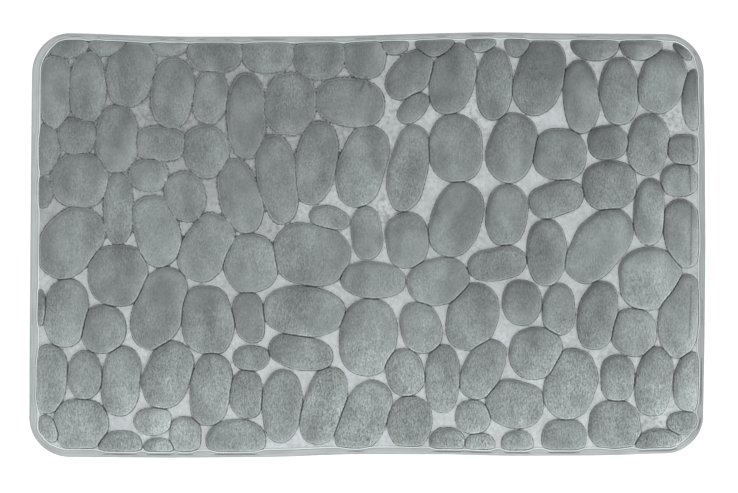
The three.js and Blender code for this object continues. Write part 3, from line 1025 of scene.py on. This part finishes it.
# %% Make the base cloth
BASE_RIM_INSETS = (LAYER_INSET, *RIM_INSETS)
BASE_STEP = 9
base_rims = [rim_path(inset, 5)[0] for inset in BASE_RIM_INSETS]
spots = scattered(BASE_STEP, 41)
base_points = np.vstack([*base_rims, spots[rim_inset(*spots.T) > BASE_STEP]])
base_plan, base_triangles = triangulated(base_points, closed_lines(0, len(base_rims[0])))
x, y = base_plan.T
slack = 0.05 * (1 + hills(x, y, 24, 42)) * ease(rim_inset(x, y), 3, 9)
base = closed_sheet("base_knit_cloth", base_plan, base_triangles,
                    pressed(x, y, BASE_TOP - 0.03), pressed(x, y, BASE_BOTTOM + slack))
print(len(base_plan), "points in the base cloth's face")

# %% [markdown]
# ## The grip dots
#
# The dots that keep the mat from sliding are printed through a screen, so they stand in an even
# staggered grid and are all alike: a round pad with a domed end, which carries the mat on the
# floor. One ring of points is turned into a dot, and the dot is copied in one mesh, because one
# print is one piece.

# %% Print the dots
DOT_PITCH = 15
DOT_SIDES = 10
DOT_PROFILE = [(2.6, 1.0), (2.45, 0.5), (1.9, 0.12), (0.9, 0.0)]     # radius, share of the height


def dot_places():
    """The staggered grid, as far as the printed area goes."""
    rows = np.arange(-WIDTH / 2, WIDTH / 2, DOT_PITCH * math.sqrt(3) / 2)
    places = [(x + DOT_PITCH / 2 * (number % 2), y) for number, y in enumerate(rows)
              for x in np.arange(-LENGTH / 2, LENGTH / 2, DOT_PITCH)]
    places = np.array(places)
    return places[rim_inset(*places.T) > COAT_INSET + DOT_PROFILE[0][0]]


def one_dot():
    """The points and faces of a dot that hangs from the base cloth."""
    angles = np.arange(DOT_SIDES) * 2 * math.pi / DOT_SIDES
    points = [(r * math.cos(a), r * math.sin(a), COAT_BOTTOM + share * (COAT_TOP - COAT_BOTTOM))
              for r, share in DOT_PROFILE for a in angles]
    faces = []
    for ring in range(len(DOT_PROFILE) - 1):
        for k in range(DOT_SIDES):
            upper, lower = ring * DOT_SIDES, (ring + 1) * DOT_SIDES
            after = (k + 1) % DOT_SIDES
            faces.append([lower + k, lower + after, upper + after, upper + k])
    last = (len(DOT_PROFILE) - 1) * DOT_SIDES
    faces.append(list(range(DOT_SIDES)))
    faces.append([last + k for k in range(DOT_SIDES)][::-1])
    return np.array(points), faces


def printed_dots():
    """All dots as one mesh."""
    places = dot_places()
    points, faces = one_dot()
    vertices = np.vstack([points + [x, y, 0] for x, y in places])
    all_faces = [[k + number * len(points) for k in face]
                 for number in range(len(places)) for face in faces]
    print(len(places), "grip dots")
    return new_object("grip_dots", vertices, all_faces)


dots = printed_dots()

# %% [markdown]
# ## The binding
#
# The tape is one long strip, so it is made as a section that travels round the rim. The section is
# the folded tape itself: a turned hem at the inner edge, a dip where the seam pulls it down, a puff
# where it goes over the fold, and a flat leg underneath. Its width and its dip change on the
# way, which gives the wavy inner edge and the drag lines that a sewn tape has.

# %% Section of the folded tape
# Points of the two legs: how far from the inner edge, and how high over the layer they lie on.
TOP_LEG = [(0.0, 0.03), (-0.14, 0.45), (0.08, 0.92), (0.6, 1.12), (1.2, 0.95), (1.75, 0.62),
           (2.25, 0.62), (2.8, 0.98), (3.5, 1.2)]
LOWER_LEG = [(3.2, 0.0), (2.3, 0.16), (1.7, 0.16), (1.0, -0.02), (0.2, 0.05), (0.0, 0.4),
             (0.1, TAPE - 0.04)]
PUFF = 0.35
ARC_STEPS = 14
LINING_STEPS = 8


def tape_section(width):
    """Insets from the rim and heights of the points round the folded tape."""
    half = (VALLEY - BASE_BOTTOM) / 2 + TAPE + 0.03
    insets = [width - far for far, _ in TOP_LEG]
    levels = [VALLEY + rise for _, rise in TOP_LEG]
    for k in range(ARC_STEPS + 1):
        angle = math.pi / 2 - math.pi * k / ARC_STEPS
        insets.append(FOLD_REACH * (1 - abs(math.cos(angle)) ** 0.9))
        levels.append(MID_HEIGHT + (half + PUFF * max(0, math.sin(angle))) * math.sin(angle))
    insets += [width - far for far, _ in LOWER_LEG]
    levels += [BINDING_BOTTOM + rise for _, rise in LOWER_LEG]
    for k in range(LINING_STEPS + 1):
        angle = -math.pi / 2 + math.pi * k / LINING_STEPS
        insets.append(TAPE + (FOLD_REACH - TAPE) * (1 - math.cos(angle)))
        levels.append(MID_HEIGHT + (half - TAPE) * math.sin(angle))
    insets.append(width - 0.5)
    levels.append(VALLEY + 0.03)
    return np.array(insets), np.array(levels)


print(len(tape_section(BINDING_WIDTH)[0]), "points in one section of the tape")

# %% Sweep the section round the rim
PATH_STEP = 1.7
DRAG = 0.16             # height of the slanting drag lines
RIPPLE = 0.2


def folded_tape():
    """The tape's points as rings round its section, the way along it and the way round it."""
    rim, ways = rim_path(0, PATH_STEP)
    run = np.concatenate([[0], np.cumsum(np.hypot(*np.diff(rim, axis=0).T))])
    sections = [tape_section(width) for width in tape_width(*rim.T)]
    insets = np.array([section[0] for section in sections])
    levels = np.array([section[1] for section in sections])
    number = np.arange(insets.shape[1])
    on_top = (number > 0) & (number < len(TOP_LEG) + ARC_STEPS // 2)
    drag = hills(run[:, None] + 0.9 * insets, insets * 1.7, 6.5, 51)
    ripple = hills(run[:, None], insets, 19, 52)
    levels_with_lift = levels + (DRAG * drag + RIPPLE * ripple) * on_top
    x = rim[:, :1] - ways[:, :1] * insets
    y = rim[:, 1:] - ways[:, 1:] * insets
    steps = np.cumsum(np.hypot(np.diff(insets, axis=1), np.diff(levels, axis=1)), 1)
    across = np.concatenate([np.zeros((len(rim), 1)), steps], 1)
    return np.stack([x, y, levels_with_lift], 2), rim, run, across


def tube_faces(rings, points):
    """Squares between closed rings of points, with the last ring joined to the first."""
    corner = np.arange(rings)[:, None] * points + np.arange(points)
    after = np.roll(corner, -1, 0)
    squares = [corner, np.roll(corner, -1, 1), np.roll(after, -1, 1), after]
    return np.stack(squares, 2).reshape(-1, 4)[:, ::-1].tolist()


tape_points, tape_rim, tape_run, tape_across = folded_tape()
rings, section_points = tape_across.shape
tape = new_object("binding_tape", tape_points.reshape(-1, 3), tube_faces(rings, section_points))
print(len(tape.data.vertices), "points in the binding")

# %% Paint the places along and across the tape, and its painted shade
# Painted shade on the tape: it is darker where it turns down over the fold, and on the far and
# the right side, where it lies turned away.
RIGHT_SHADE = 0.2
FAR_SHADE = 0.1
past_leg = np.arange(section_points) - len(TOP_LEG)
fold_shade_mask = ease(past_leg, 2, 5) * ease(-past_leg, -13, -10)
turned_away_shade = (1 - RIGHT_SHADE * ease(tape_rim[:, 0], 380, 394)
               - FAR_SHADE * ease(tape_rim[:, 1], 232, 246))
paint(tape, "across", tape_across.ravel())
paint(tape, "run", np.repeat(tape_run, section_points))
# painted shade on the far and the right side
paint(tape, "lightness", np.repeat(turned_away_shade, section_points))
# painted shade where the tape turns down over the fold
paint(tape, "fold_shade", np.tile(fold_shade_mask, rings))
print("the tape is", round(tape_across.max(), 1), "mm round its section")

# %% [markdown]
# ## The seam
#
# A lockstitch has two threads. The needle thread shows on top as short slanted dashes with a pit
# between two of them, and the bobbin thread shows the same way underneath. Each dash is a small
# capsule that dives at its ends, set by its distance along the seam.

# %% One stitch
STITCH_LENGTH = 2.2
THREAD_RADIUS = 0.3
STITCH_SIDES = 6
# Along a stitch: the place along it, the share of the thread's radius, and how far it dives.
STITCH_SHAPE = [(-0.5, 0.35, -1.0), (-0.36, 0.9, -0.25), (0, 1.05, 0.15), (0.36, 0.9, -0.25),
                (0.5, 0.35, -1.0)]
DIVE = 0.28
SLANT = math.radians(7)


def stitch_points(centre, along, surface, upward):
    """Rings of points round one slanted stitch."""
    along = np.array([along[0] * math.cos(SLANT) - along[1] * math.sin(SLANT),
                      along[0] * math.sin(SLANT) + along[1] * math.cos(SLANT)])
    side = np.array([-along[1], along[0]])
    points = []
    for place_along, share, dive in STITCH_SHAPE:
        axis = centre + along * place_along * STITCH_LENGTH
        level = surface + upward * (0.1 + dive * DIVE)
        for k in range(STITCH_SIDES):
            angle = 2 * math.pi * k / STITCH_SIDES
            spot = axis + side * THREAD_RADIUS * share * math.cos(angle)
            points.append((*spot, level + THREAD_RADIUS * share * math.sin(angle)))
    return points


def stitch_faces(first):
    """The faces of the stitch whose points start at that number."""
    faces = []
    for ring in range(len(STITCH_SHAPE) - 1):
        start = first + ring * STITCH_SIDES
        following = start + STITCH_SIDES
        for k in range(STITCH_SIDES):
            after = (k + 1) % STITCH_SIDES
            faces.append([start + k, following + k, following + after, start + after])
    last = first + (len(STITCH_SHAPE) - 1) * STITCH_SIDES
    faces.append([first + k for k in range(STITCH_SIDES)])
    faces.append([last + k for k in range(STITCH_SIDES)][::-1])
    return faces


print(len(STITCH_SHAPE) * STITCH_SIDES, "points in one stitch")

# %% Sew the seam
STITCH_PITCH = 3.2
NEEDLE_LEVEL = 0.62     # the bottom of the dip that the seam pulls into the tape
BOBBIN_LEVEL = 0.2


def sewn_thread(name, surface, upward):
    """Stitches on the seam line, at the tape's surface, on its upper or lower side."""
    rim, ways = rim_path(0, PATH_STEP)
    seam = rim - ways * (tape_width(*rim.T) - SEAM_INSET)[:, None]
    closed = np.vstack([seam, seam[:1]])
    run = np.concatenate([[0], np.cumsum(np.hypot(*np.diff(closed, axis=0).T))])
    count = round(run[-1] / STITCH_PITCH)
    vertices, faces = [], []
    for number in range(count):
        middle = (number + 0.5) * run[-1] / count
        before, after = [np.array([np.interp(middle + step, run, closed[:, k]) for k in (0, 1)])
                         for step in (-1, 1)]
        along = (after - before) / np.linalg.norm(after - before)
        faces += stitch_faces(len(vertices))
        vertices += stitch_points((before + after) / 2, along, surface, upward)
    print(count, "stitches in", name)
    return new_object(name, vertices, faces)


needle = sewn_thread("needle_stitches", VALLEY + NEEDLE_LEVEL, 1)
bobbin = sewn_thread("bobbin_stitches", BINDING_BOTTOM + BOBBIN_LEVEL, -1)

# %% [markdown]
# ## Finishes
#
# Each finish is one Principled shader with noise and wave patterns behind its colour, roughness
# and bump. Patterns are sized in millimetres by a small helper, so that a number in a finish can
# be read as the size of a thread or a patch.

# %% Nodes and links
def new_finish(name, **sockets):
    """A material with one Principled shader, with the given plain values on its sockets."""
    finish = bpy.data.materials.new(name)
    finish.use_nodes = True
    finish.node_tree.nodes.clear()
    shader = add(finish, "BsdfPrincipled", {key.replace("_", " "): value for key, value in sockets.items()})
    shader.name = "shader"
    add(finish, "OutputMaterial", {"Surface": shader.outputs[0]})
    return finish


def add(finish, kind, inputs=None, **settings):
    """One node. An input is a number, a colour or another node's output."""
    node = finish.node_tree.nodes.new("ShaderNode" + kind)
    for name, value in settings.items():
        setattr(node, name, value)
    for name, value in (inputs or {}).items():
        if isinstance(value, bpy.types.NodeSocket):
            finish.node_tree.links.new(value, node.inputs[name])
        else:
            node.inputs[name].default_value = value
    return node


def drive(finish, **inputs):
    """Links outputs to the shader's sockets."""
    shader = finish.node_tree.nodes["shader"]
    for name, output in inputs.items():
        finish.node_tree.links.new(output, shader.inputs[name.replace("_", " ")])


print("helpers:", ", ".join(helper.__name__ for helper in (new_finish, add, drive)))


# %% Patterns in millimetres
def place(finish, stretch=(1, 1, 1), turn=0):
    """The point in millimetres, which may be stretched along an axis for a grain with a direction."""
    spot = add(finish, "TexCoord").outputs["Object"]
    scale = [1 / MM / s for s in stretch]
    return add(finish, "Mapping", {"Vector": spot, "Scale": scale, "Rotation": (0, 0, turn)}).outputs[0]


def grain(finish, size, detail=2.0, where=None, rough=0.5):
    """Noise from 0 to 1 whose patches are about size millimetres."""
    where = where or place(finish)
    return add(finish, "TexNoise", {"Vector": where, "Scale": 0.5 / size, "Detail": detail,
                                    "Roughness": rough}).outputs["Fac"]


def painted(finish, name):
    """A number that was painted on the mesh."""
    return add(finish, "Attribute", attribute_name=name).outputs["Fac"]


print("helpers:", ", ".join(helper.__name__ for helper in (place, grain, painted)))


# %% Sums, colours and bumps
def maths(finish, operation, *values):
    node = add(finish, "Math", operation=operation)
    for socket, value in zip(node.inputs, values):
        if isinstance(value, bpy.types.NodeSocket):
            finish.node_tree.links.new(value, socket)
        else:
            socket.default_value = value
    return node.outputs[0]


def spread(finish, value, low, high, start=0.0, end=1.0):
    """Maps start..end of a value to low..high."""
    return add(finish, "MapRange", {"Value": value, "From Min": start, "From Max": end,
                                    "To Min": low, "To Max": high}).outputs[0]


def times(finish, *values):
    product = values[0]
    for value in values[1:]:
        product = maths(finish, "MULTIPLY", product, value)
    return product


def tinted(finish, colour, factor):
    """A colour made lighter or darker by a factor."""
    return add(finish, "VectorMath", {0: colour, "Scale": factor}, operation="SCALE").outputs[0]


def bumped(finish, height, distance, strength=1.0, under=None):
    """A bump of so many millimetres on top of another."""
    inputs = {"Height": height, "Distance": distance * MM, "Strength": strength}
    if under is not None:
        inputs["Normal"] = under
    return add(finish, "Bump", inputs).outputs["Normal"]


print("helpers:", ", ".join(helper.__name__ for helper in (maths, spread, times, tinted, bumped)))

# %% [markdown]
# ## Plush
#
# The cover is one cloth with two looks. On the pebbles its short pile stands up: matt, mid grey,
# blotchy where hands and feet have brushed it, with a fine grain of tufts. In the valleys the hot
# mould has pressed the pile flat, so it is pale, smooth and faintly shiny. The mesh says which is
# which, and the numbers painted on it set how light the pile is, with painted light and shade, and
# where painted shade lies along the pebbles' edges.

# %% The edge of the pile
def near_line(finish, value, line, gone, full=1.0, near=0.0, floor=0.0):
    """full where a value lies near a line, and floor once it is further off than gone."""
    off = maths(finish, "ABSOLUTE", maths(finish, "SUBTRACT", value, line))
    return spread(finish, off, full, floor, near, gone)


def pile_edge(finish):
    """The painted distance from the pebble's edge, made ragged by the pile, and its softness."""
    depth, fuzz = painted(finish, "depth"), painted(finish, "fuzz")
    stray = maths(finish, "SUBTRACT", grain(finish, 1.6, 3.0, rough=0.7), 0.5)
    ragged = maths(finish, "ADD", depth, times(finish, fuzz, stray))
    edge = maths(finish, "ADD", ragged, spread(finish, fuzz, 0, 1.4, FUZZ, 10))
    return edge, spread(finish, fuzz, 0.3, 2.4, FUZZ, FAR_LEFT_FUZZ)


print("helpers:", near_line.__name__, "and", pile_edge.__name__)


# %% How light the pile and the pressed cloth are
def pile_light(finish, blotches, hatch, edge):
    """Brushed patches, blotches, the hatch of the tufts, and a painted highlight rim near the edge on the
    side towards the lamp.
    """
    patches = grain(finish, 13, 1.0, place(finish, (1, 1.8, 1), 0.15), 0.4)
    # painted highlight: a pale rim just inside the edge, strongest towards the key lamp
    rim = times(finish, near_line(finish, edge, 1.3, 0.9, near=0.1), painted(finish, "rim_highlight"))
    return times(finish, spread(finish, patches, 0.79, 1.2, 0.31, 0.69),
                 spread(finish, blotches, 0.94, 1.06, 0.3, 0.7),
                 maths(finish, "MULTIPLY_ADD", hatch, painted(finish, "nap"), 1.0),
                 spread(finish, rim, 1.0, 1.42))


def pressed_light(finish, creases, hatch):
    """Nearly even where the cloth lies smooth, and specked with painted shade where it is crumpled."""
    wisps = grain(finish, 7, 2.0)
    smooth = times(finish, spread(finish, creases, 0.95, 1.04, 0.3, 0.7),
                   spread(finish, wisps, 0.92, 1.06, 0.3, 0.7))
    # painted shade in the crumples: dark specks where the cloth is crumpled
    specked = times(finish, spread(finish, creases, 0.7, 1.02, 0.38, 0.54),
                    spread(finish, wisps, 0.86, 1.04, 0.38, 0.6))
    light = add(finish, "Mix", {"Factor": painted(finish, "crumple"), "A": smooth, "B": specked})
    return times(finish, light.outputs["Result"], maths(finish, "MULTIPLY_ADD", hatch, 0.3, 1.0))


print("helpers:", pile_light.__name__, "and", pressed_light.__name__)

# %% Plush finish
PILE_COLOUR = (0.178, 0.198, 0.197)
PRESSED_COLOUR = (0.366, 0.391, 0.396)
# the darkest that the painted shade along the edges gets
DARKEST_EDGE_SHADE = 0.12


def plush_finish():
    """Standing pile on the pebbles and pressed cloth in the valleys, with painted shade along the edges
    between.
    """
    finish = new_finish("grey_plush", Sheen_Weight=0.7, Sheen_Roughness=0.4, Specular_IOR_Level=0.2)
    edge, softness = pile_edge(finish)
    pile = spread(finish, maths(finish, "DIVIDE", edge, softness), 0, 1, -1, 1)
    # painted shade in a thin line along the pebbles' edges
    edge_shade = times(finish, near_line(finish, edge, -0.2, 0.85, near=0.15), painted(finish, "edge_shade"))
    blotches, creases = grain(finish, 7, 2.0), grain(finish, 2.6, 3.0)
    rows = grain(finish, 0.75, 1.0, place(finish, (1, 3, 1), 1.0), 0.6)
    tufts = grain(finish, 0.75, 2.0, place(finish, (1, 1.5, 1), -0.6), 0.65)
    hatch = maths(finish, "ADD", spread(finish, rows, -0.2, 0.2, 0.3, 0.7),
                  spread(finish, tufts, -0.28, 0.28, 0.3, 0.7))
    pebble = tinted(finish, PILE_COLOUR, pile_light(finish, blotches, hatch, edge))
    valley = tinted(finish, PRESSED_COLOUR, pressed_light(finish, creases, hatch))
    both = add(finish, "Mix", {"Factor": pile, 6: valley, 7: pebble}, data_type="RGBA").outputs[2]
    # the painted light and shade from the mesh, times the painted shade along the edges
    light = times(finish, painted(finish, "lightness"), spread(finish, edge_shade, 1.0, DARKEST_EDGE_SHADE))
    dents = bumped(finish, maths(finish, "ADD", blotches, creases), 0.8, 0.3)
    drive(finish, Base_Color=tinted(finish, both, light), Roughness=spread(finish, pile, 0.5, 0.95),
          Normal=bumped(finish, tufts, 0.55, 0.9, dents))
    return finish


plush = plush_finish()
print(len(plush.node_tree.nodes), "nodes in the plush")

# %% [markdown]
# ## Tape, thread, knit, rubber and foam
#
# The tape has a satin weave: fine lengthwise ribs and a soft shine. Its pattern must follow the rim
# and turn with the corners, so it doesn't use places in space but two numbers on the mesh, the
# distance along the tape and the distance across it.

# %% Tape finish
TAPE_COLOUR = (0.36, 0.39, 0.393)
RIB_PITCH = 0.7
PICK_PITCH = 0.9
HEM_AT, SEAM_AT, FOLD_AT = 1.2, 2.6, 6.2        # places across the tape, for its painted highlight and lines of painted shade


def waves(finish, value, pitch):
    return maths(finish, "SINE", maths(finish, "MULTIPLY", value, 2 * math.pi / pitch))


def tape_finish():
    """Satin with a painted highlight on its hem, painted shade in the gap inside it, and lines of painted
    shade at the seam and the fold.
    """
    finish = new_finish("satin_tape", Sheen_Weight=0.15, Sheen_Roughness=0.4, Specular_IOR_Level=0.4,
                        Anisotropic=0.4)
    run, across = painted(finish, "run"), painted(finish, "across")
    strip = add(finish, "CombineXYZ", {"X": run, "Y": across}).outputs[0]
    stretched = maths(finish, "MULTIPLY", run, 0.03)
    long_strip = add(finish, "CombineXYZ", {"X": stretched, "Y": across}).outputs[0]
    bands = grain(finish, 0.8, 3.0, long_strip)
    soiled = grain(finish, 14, 2.0, strip)
    ribs, picks = waves(finish, across, RIB_PITCH), waves(finish, run, PICK_PITCH)
    light = times(finish, spread(finish, bands, 0.84, 1.12, 0.3, 0.7),
                  spread(finish, ribs, 0.97, 1.03, -1, 1), spread(finish, soiled, 0.93, 1.05, 0.3, 0.7),
                  # painted highlight on the hem
                  near_line(finish, across, HEM_AT, 1.0, full=1.9, near=0.3, floor=1.0),
                  # painted shade in the gap at the inner edge
                  spread(finish, across, 0.4, 1.0, 0.05, 0.45),
                  # painted shade in the dip that the seam pulls
                  near_line(finish, across, SEAM_AT, 0.8, full=0.84, near=0.3, floor=1.0),
                  # painted shade where the tape turns over the fold
                  near_line(finish, across, FOLD_AT, 1.6, full=0.86, near=0.5, floor=1.0),
                  # painted shade where the tape lies turned away and where it turns down over the fold
                  painted(finish, "lightness"), spread(finish, painted(finish, "fold_shade"), 1.0, 0.72))
    weave = maths(finish, "ADD", ribs, maths(finish, "MULTIPLY", picks, 0.6))
    drive(finish, Base_Color=tinted(finish, TAPE_COLOUR, light),
          Roughness=spread(finish, bands, 0.42, 0.62, 0.3, 0.7),
          Normal=bumped(finish, weave, 0.05, 0.7, bumped(finish, bands, 0.4, 0.5)))
    return finish


tape_cloth = tape_finish()
print(len(tape_cloth.node_tree.nodes), "nodes in the tape")

# %% Thread finish
THREAD_COLOUR = (0.3, 0.325, 0.33)


def thread_finish():
    """Twisted plies, with painted shade between them."""
    finish = new_finish("sewing_thread", Sheen_Weight=0.3, Sheen_Roughness=0.3)
    where = place(finish, (1, 1, 1), 0.8)
    plies = add(finish, "TexWave", {"Vector": where, "Scale": 1.4, "Distortion": 2.0,
                                    "Detail": 1.0}).outputs["Fac"]
    fibres = grain(finish, 0.15, 2.0, where)
    # painted shade in the grooves between the plies
    drive(finish, Base_Color=tinted(finish, THREAD_COLOUR, spread(finish, plies, 0.75, 1.05)),
          Roughness=spread(finish, fibres, 0.45, 0.75), Normal=bumped(finish, plies, 0.08))
    return finish


thread = thread_finish()
print(len(thread.node_tree.nodes), "nodes in the thread")

# %% Knit finish
KNIT_COLOUR = (0.5, 0.53, 0.53)


def knit_finish():
    """Columns and rows of stitches, a little worn, with painted shade between the stitches."""
    finish = new_finish("warp_knit", Sheen_Weight=0.2, Sheen_Roughness=0.5, Specular_IOR_Level=0.3)
    wales = add(finish, "TexWave", {"Vector": place(finish), "Scale": 0.42, "Distortion": 0.3},
                bands_direction="X", wave_profile="SIN").outputs["Fac"]
    loops = add(finish, "TexWave", {"Vector": place(finish), "Scale": 0.5, "Distortion": 0.5},
                bands_direction="Y", wave_profile="SIN").outputs["Fac"]
    stitches = maths(finish, "MULTIPLY", wales, loops)
    wear = grain(finish, 30, 3.0)
    # painted shade between the stitches, and a little wear
    light = times(finish, spread(finish, stitches, 0.8, 1.05), spread(finish, wear, 0.92, 1.06, 0.3, 0.7))
    drive(finish, Base_Color=tinted(finish, KNIT_COLOUR, light),
          Roughness=spread(finish, stitches, 0.95, 0.7), Normal=bumped(finish, stitches, 0.25, 0.8))
    return finish


knit = knit_finish()
print(len(knit.node_tree.nodes), "nodes in the knit")

# %% Rubber and foam finishes
RUBBER_COLOUR = (0.66, 0.67, 0.66)
FOAM_COLOUR = (0.85, 0.8, 0.63)


def rubber_finish():
    """Matt printed rubber with some dirt."""
    finish = new_finish("grip_rubber", Specular_IOR_Level=0.45)
    skin = grain(finish, 0.5, 3.0)
    dirt = grain(finish, 6, 3.0)
    drive(finish, Base_Color=tinted(finish, RUBBER_COLOUR, spread(finish, dirt, 0.86, 1.06, 0.3, 0.7)),
          Roughness=spread(finish, skin, 0.5, 0.75, 0.3, 0.7), Normal=bumped(finish, skin, 0.08, 0.6))
    return finish


def foam_finish():
    """Open cells, with painted shade in their hollow middles."""
    finish = new_finish("memory_foam", Specular_IOR_Level=0.2)
    cells = add(finish, "TexVoronoi", {"Vector": place(finish), "Scale": 1.3}).outputs["Distance"]
    # painted shade in the middles of the cells
    drive(finish, Base_Color=tinted(finish, FOAM_COLOUR, spread(finish, cells, 0.75, 1.05, 0, 0.6)),
          Roughness=spread(finish, cells, 0.95, 0.85), Normal=bumped(finish, cells, 0.4, 0.8))
    return finish


FINISHES = {"cover_plush": plush, "binding_cloth": tape_cloth, "thread": thread,
            "base_knit": knit, "grip_rubber": rubber_finish(), "foam": foam_finish()}
print("finishes:", ", ".join(FINISHES))

# %% [markdown]
# ## Hand each piece to the frame
#
# The mat is one body, so every piece rides on the root. Each one stands for its CAD solid, which
# is then hidden and stays for collision.

# %% Ride and replace
PIECES = [(cover, "top_cover", "cover_plush"), (foam, "foam_core", "foam"),
          (base, "base_cloth", "base_knit"), (dots, "grip_coat", "grip_rubber"),
          (tape, "edge_binding", "binding_cloth"), (needle, "needle_thread", "thread"),
          (bobbin, "bobbin_thread", "thread")]
for made, node, slot in PIECES:
    made.data.materials.append(FINISHES[slot])
    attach(made, "root")
    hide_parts(node)
    print(made.name, "stands for", node)

# %% [markdown]
# ## Floor and light
#
# The mat lies on a white studio floor. One broad soft lamp stands low on the right of the near
# side, so that each pebble turns a light shoulder to it and a dark one away, and a pale sky fills
# the rest. The brightness is set so that the floor is white and the pile keeps its grey.

# %% Floor
FLOOR_SIZE = 12
floor_half = FLOOR_SIZE / 2
floor_mesh = bpy.data.meshes.new("studio_floor")
floor_mesh.from_pydata([(-floor_half, -floor_half, 0), (floor_half, -floor_half, 0),
                        (floor_half, floor_half, 0), (-floor_half, floor_half, 0)], [], [(0, 1, 2, 3)])
floor = bpy.data.objects.new("studio_floor", floor_mesh)
bpy.context.scene.collection.objects.link(floor)
white = new_finish("studio_white", Base_Color=(0.93, 0.93, 0.93, 1), Roughness=0.9,
                   Emission_Color=(1, 1, 1, 1), Emission_Strength=0.12)
floor.data.materials.append(white)
print("floor of", FLOOR_SIZE, "m")

# %% Lamps and sky
def soft_lamp(name, place_at, size, power):
    """A square lamp that looks at the middle of the mat."""
    lamp = bpy.data.objects.new(name, bpy.data.lights.new(name, "AREA"))
    bpy.context.scene.collection.objects.link(lamp)
    lamp.data.size = size
    lamp.data.energy = power
    lamp.location = place_at
    lamp.rotation_euler = (-Vector(place_at)).to_track_quat("-Z", "Y").to_euler()
    return lamp


soft_lamp("key_lamp", (1.5, -1.9, 2.3), 1.8, 50)
soft_lamp("top_lamp", (-0.2, 0.3, 3.0), 2.4, 62)
world = bpy.data.worlds.new("studio_sky")
bpy.context.scene.world = world
world.use_nodes = True
sky = world.node_tree.nodes["Background"]
sky.inputs["Color"].default_value = (1, 1, 1, 1)
sky.inputs["Strength"].default_value = 0.55
bpy.context.scene.view_settings.view_transform = "Standard"
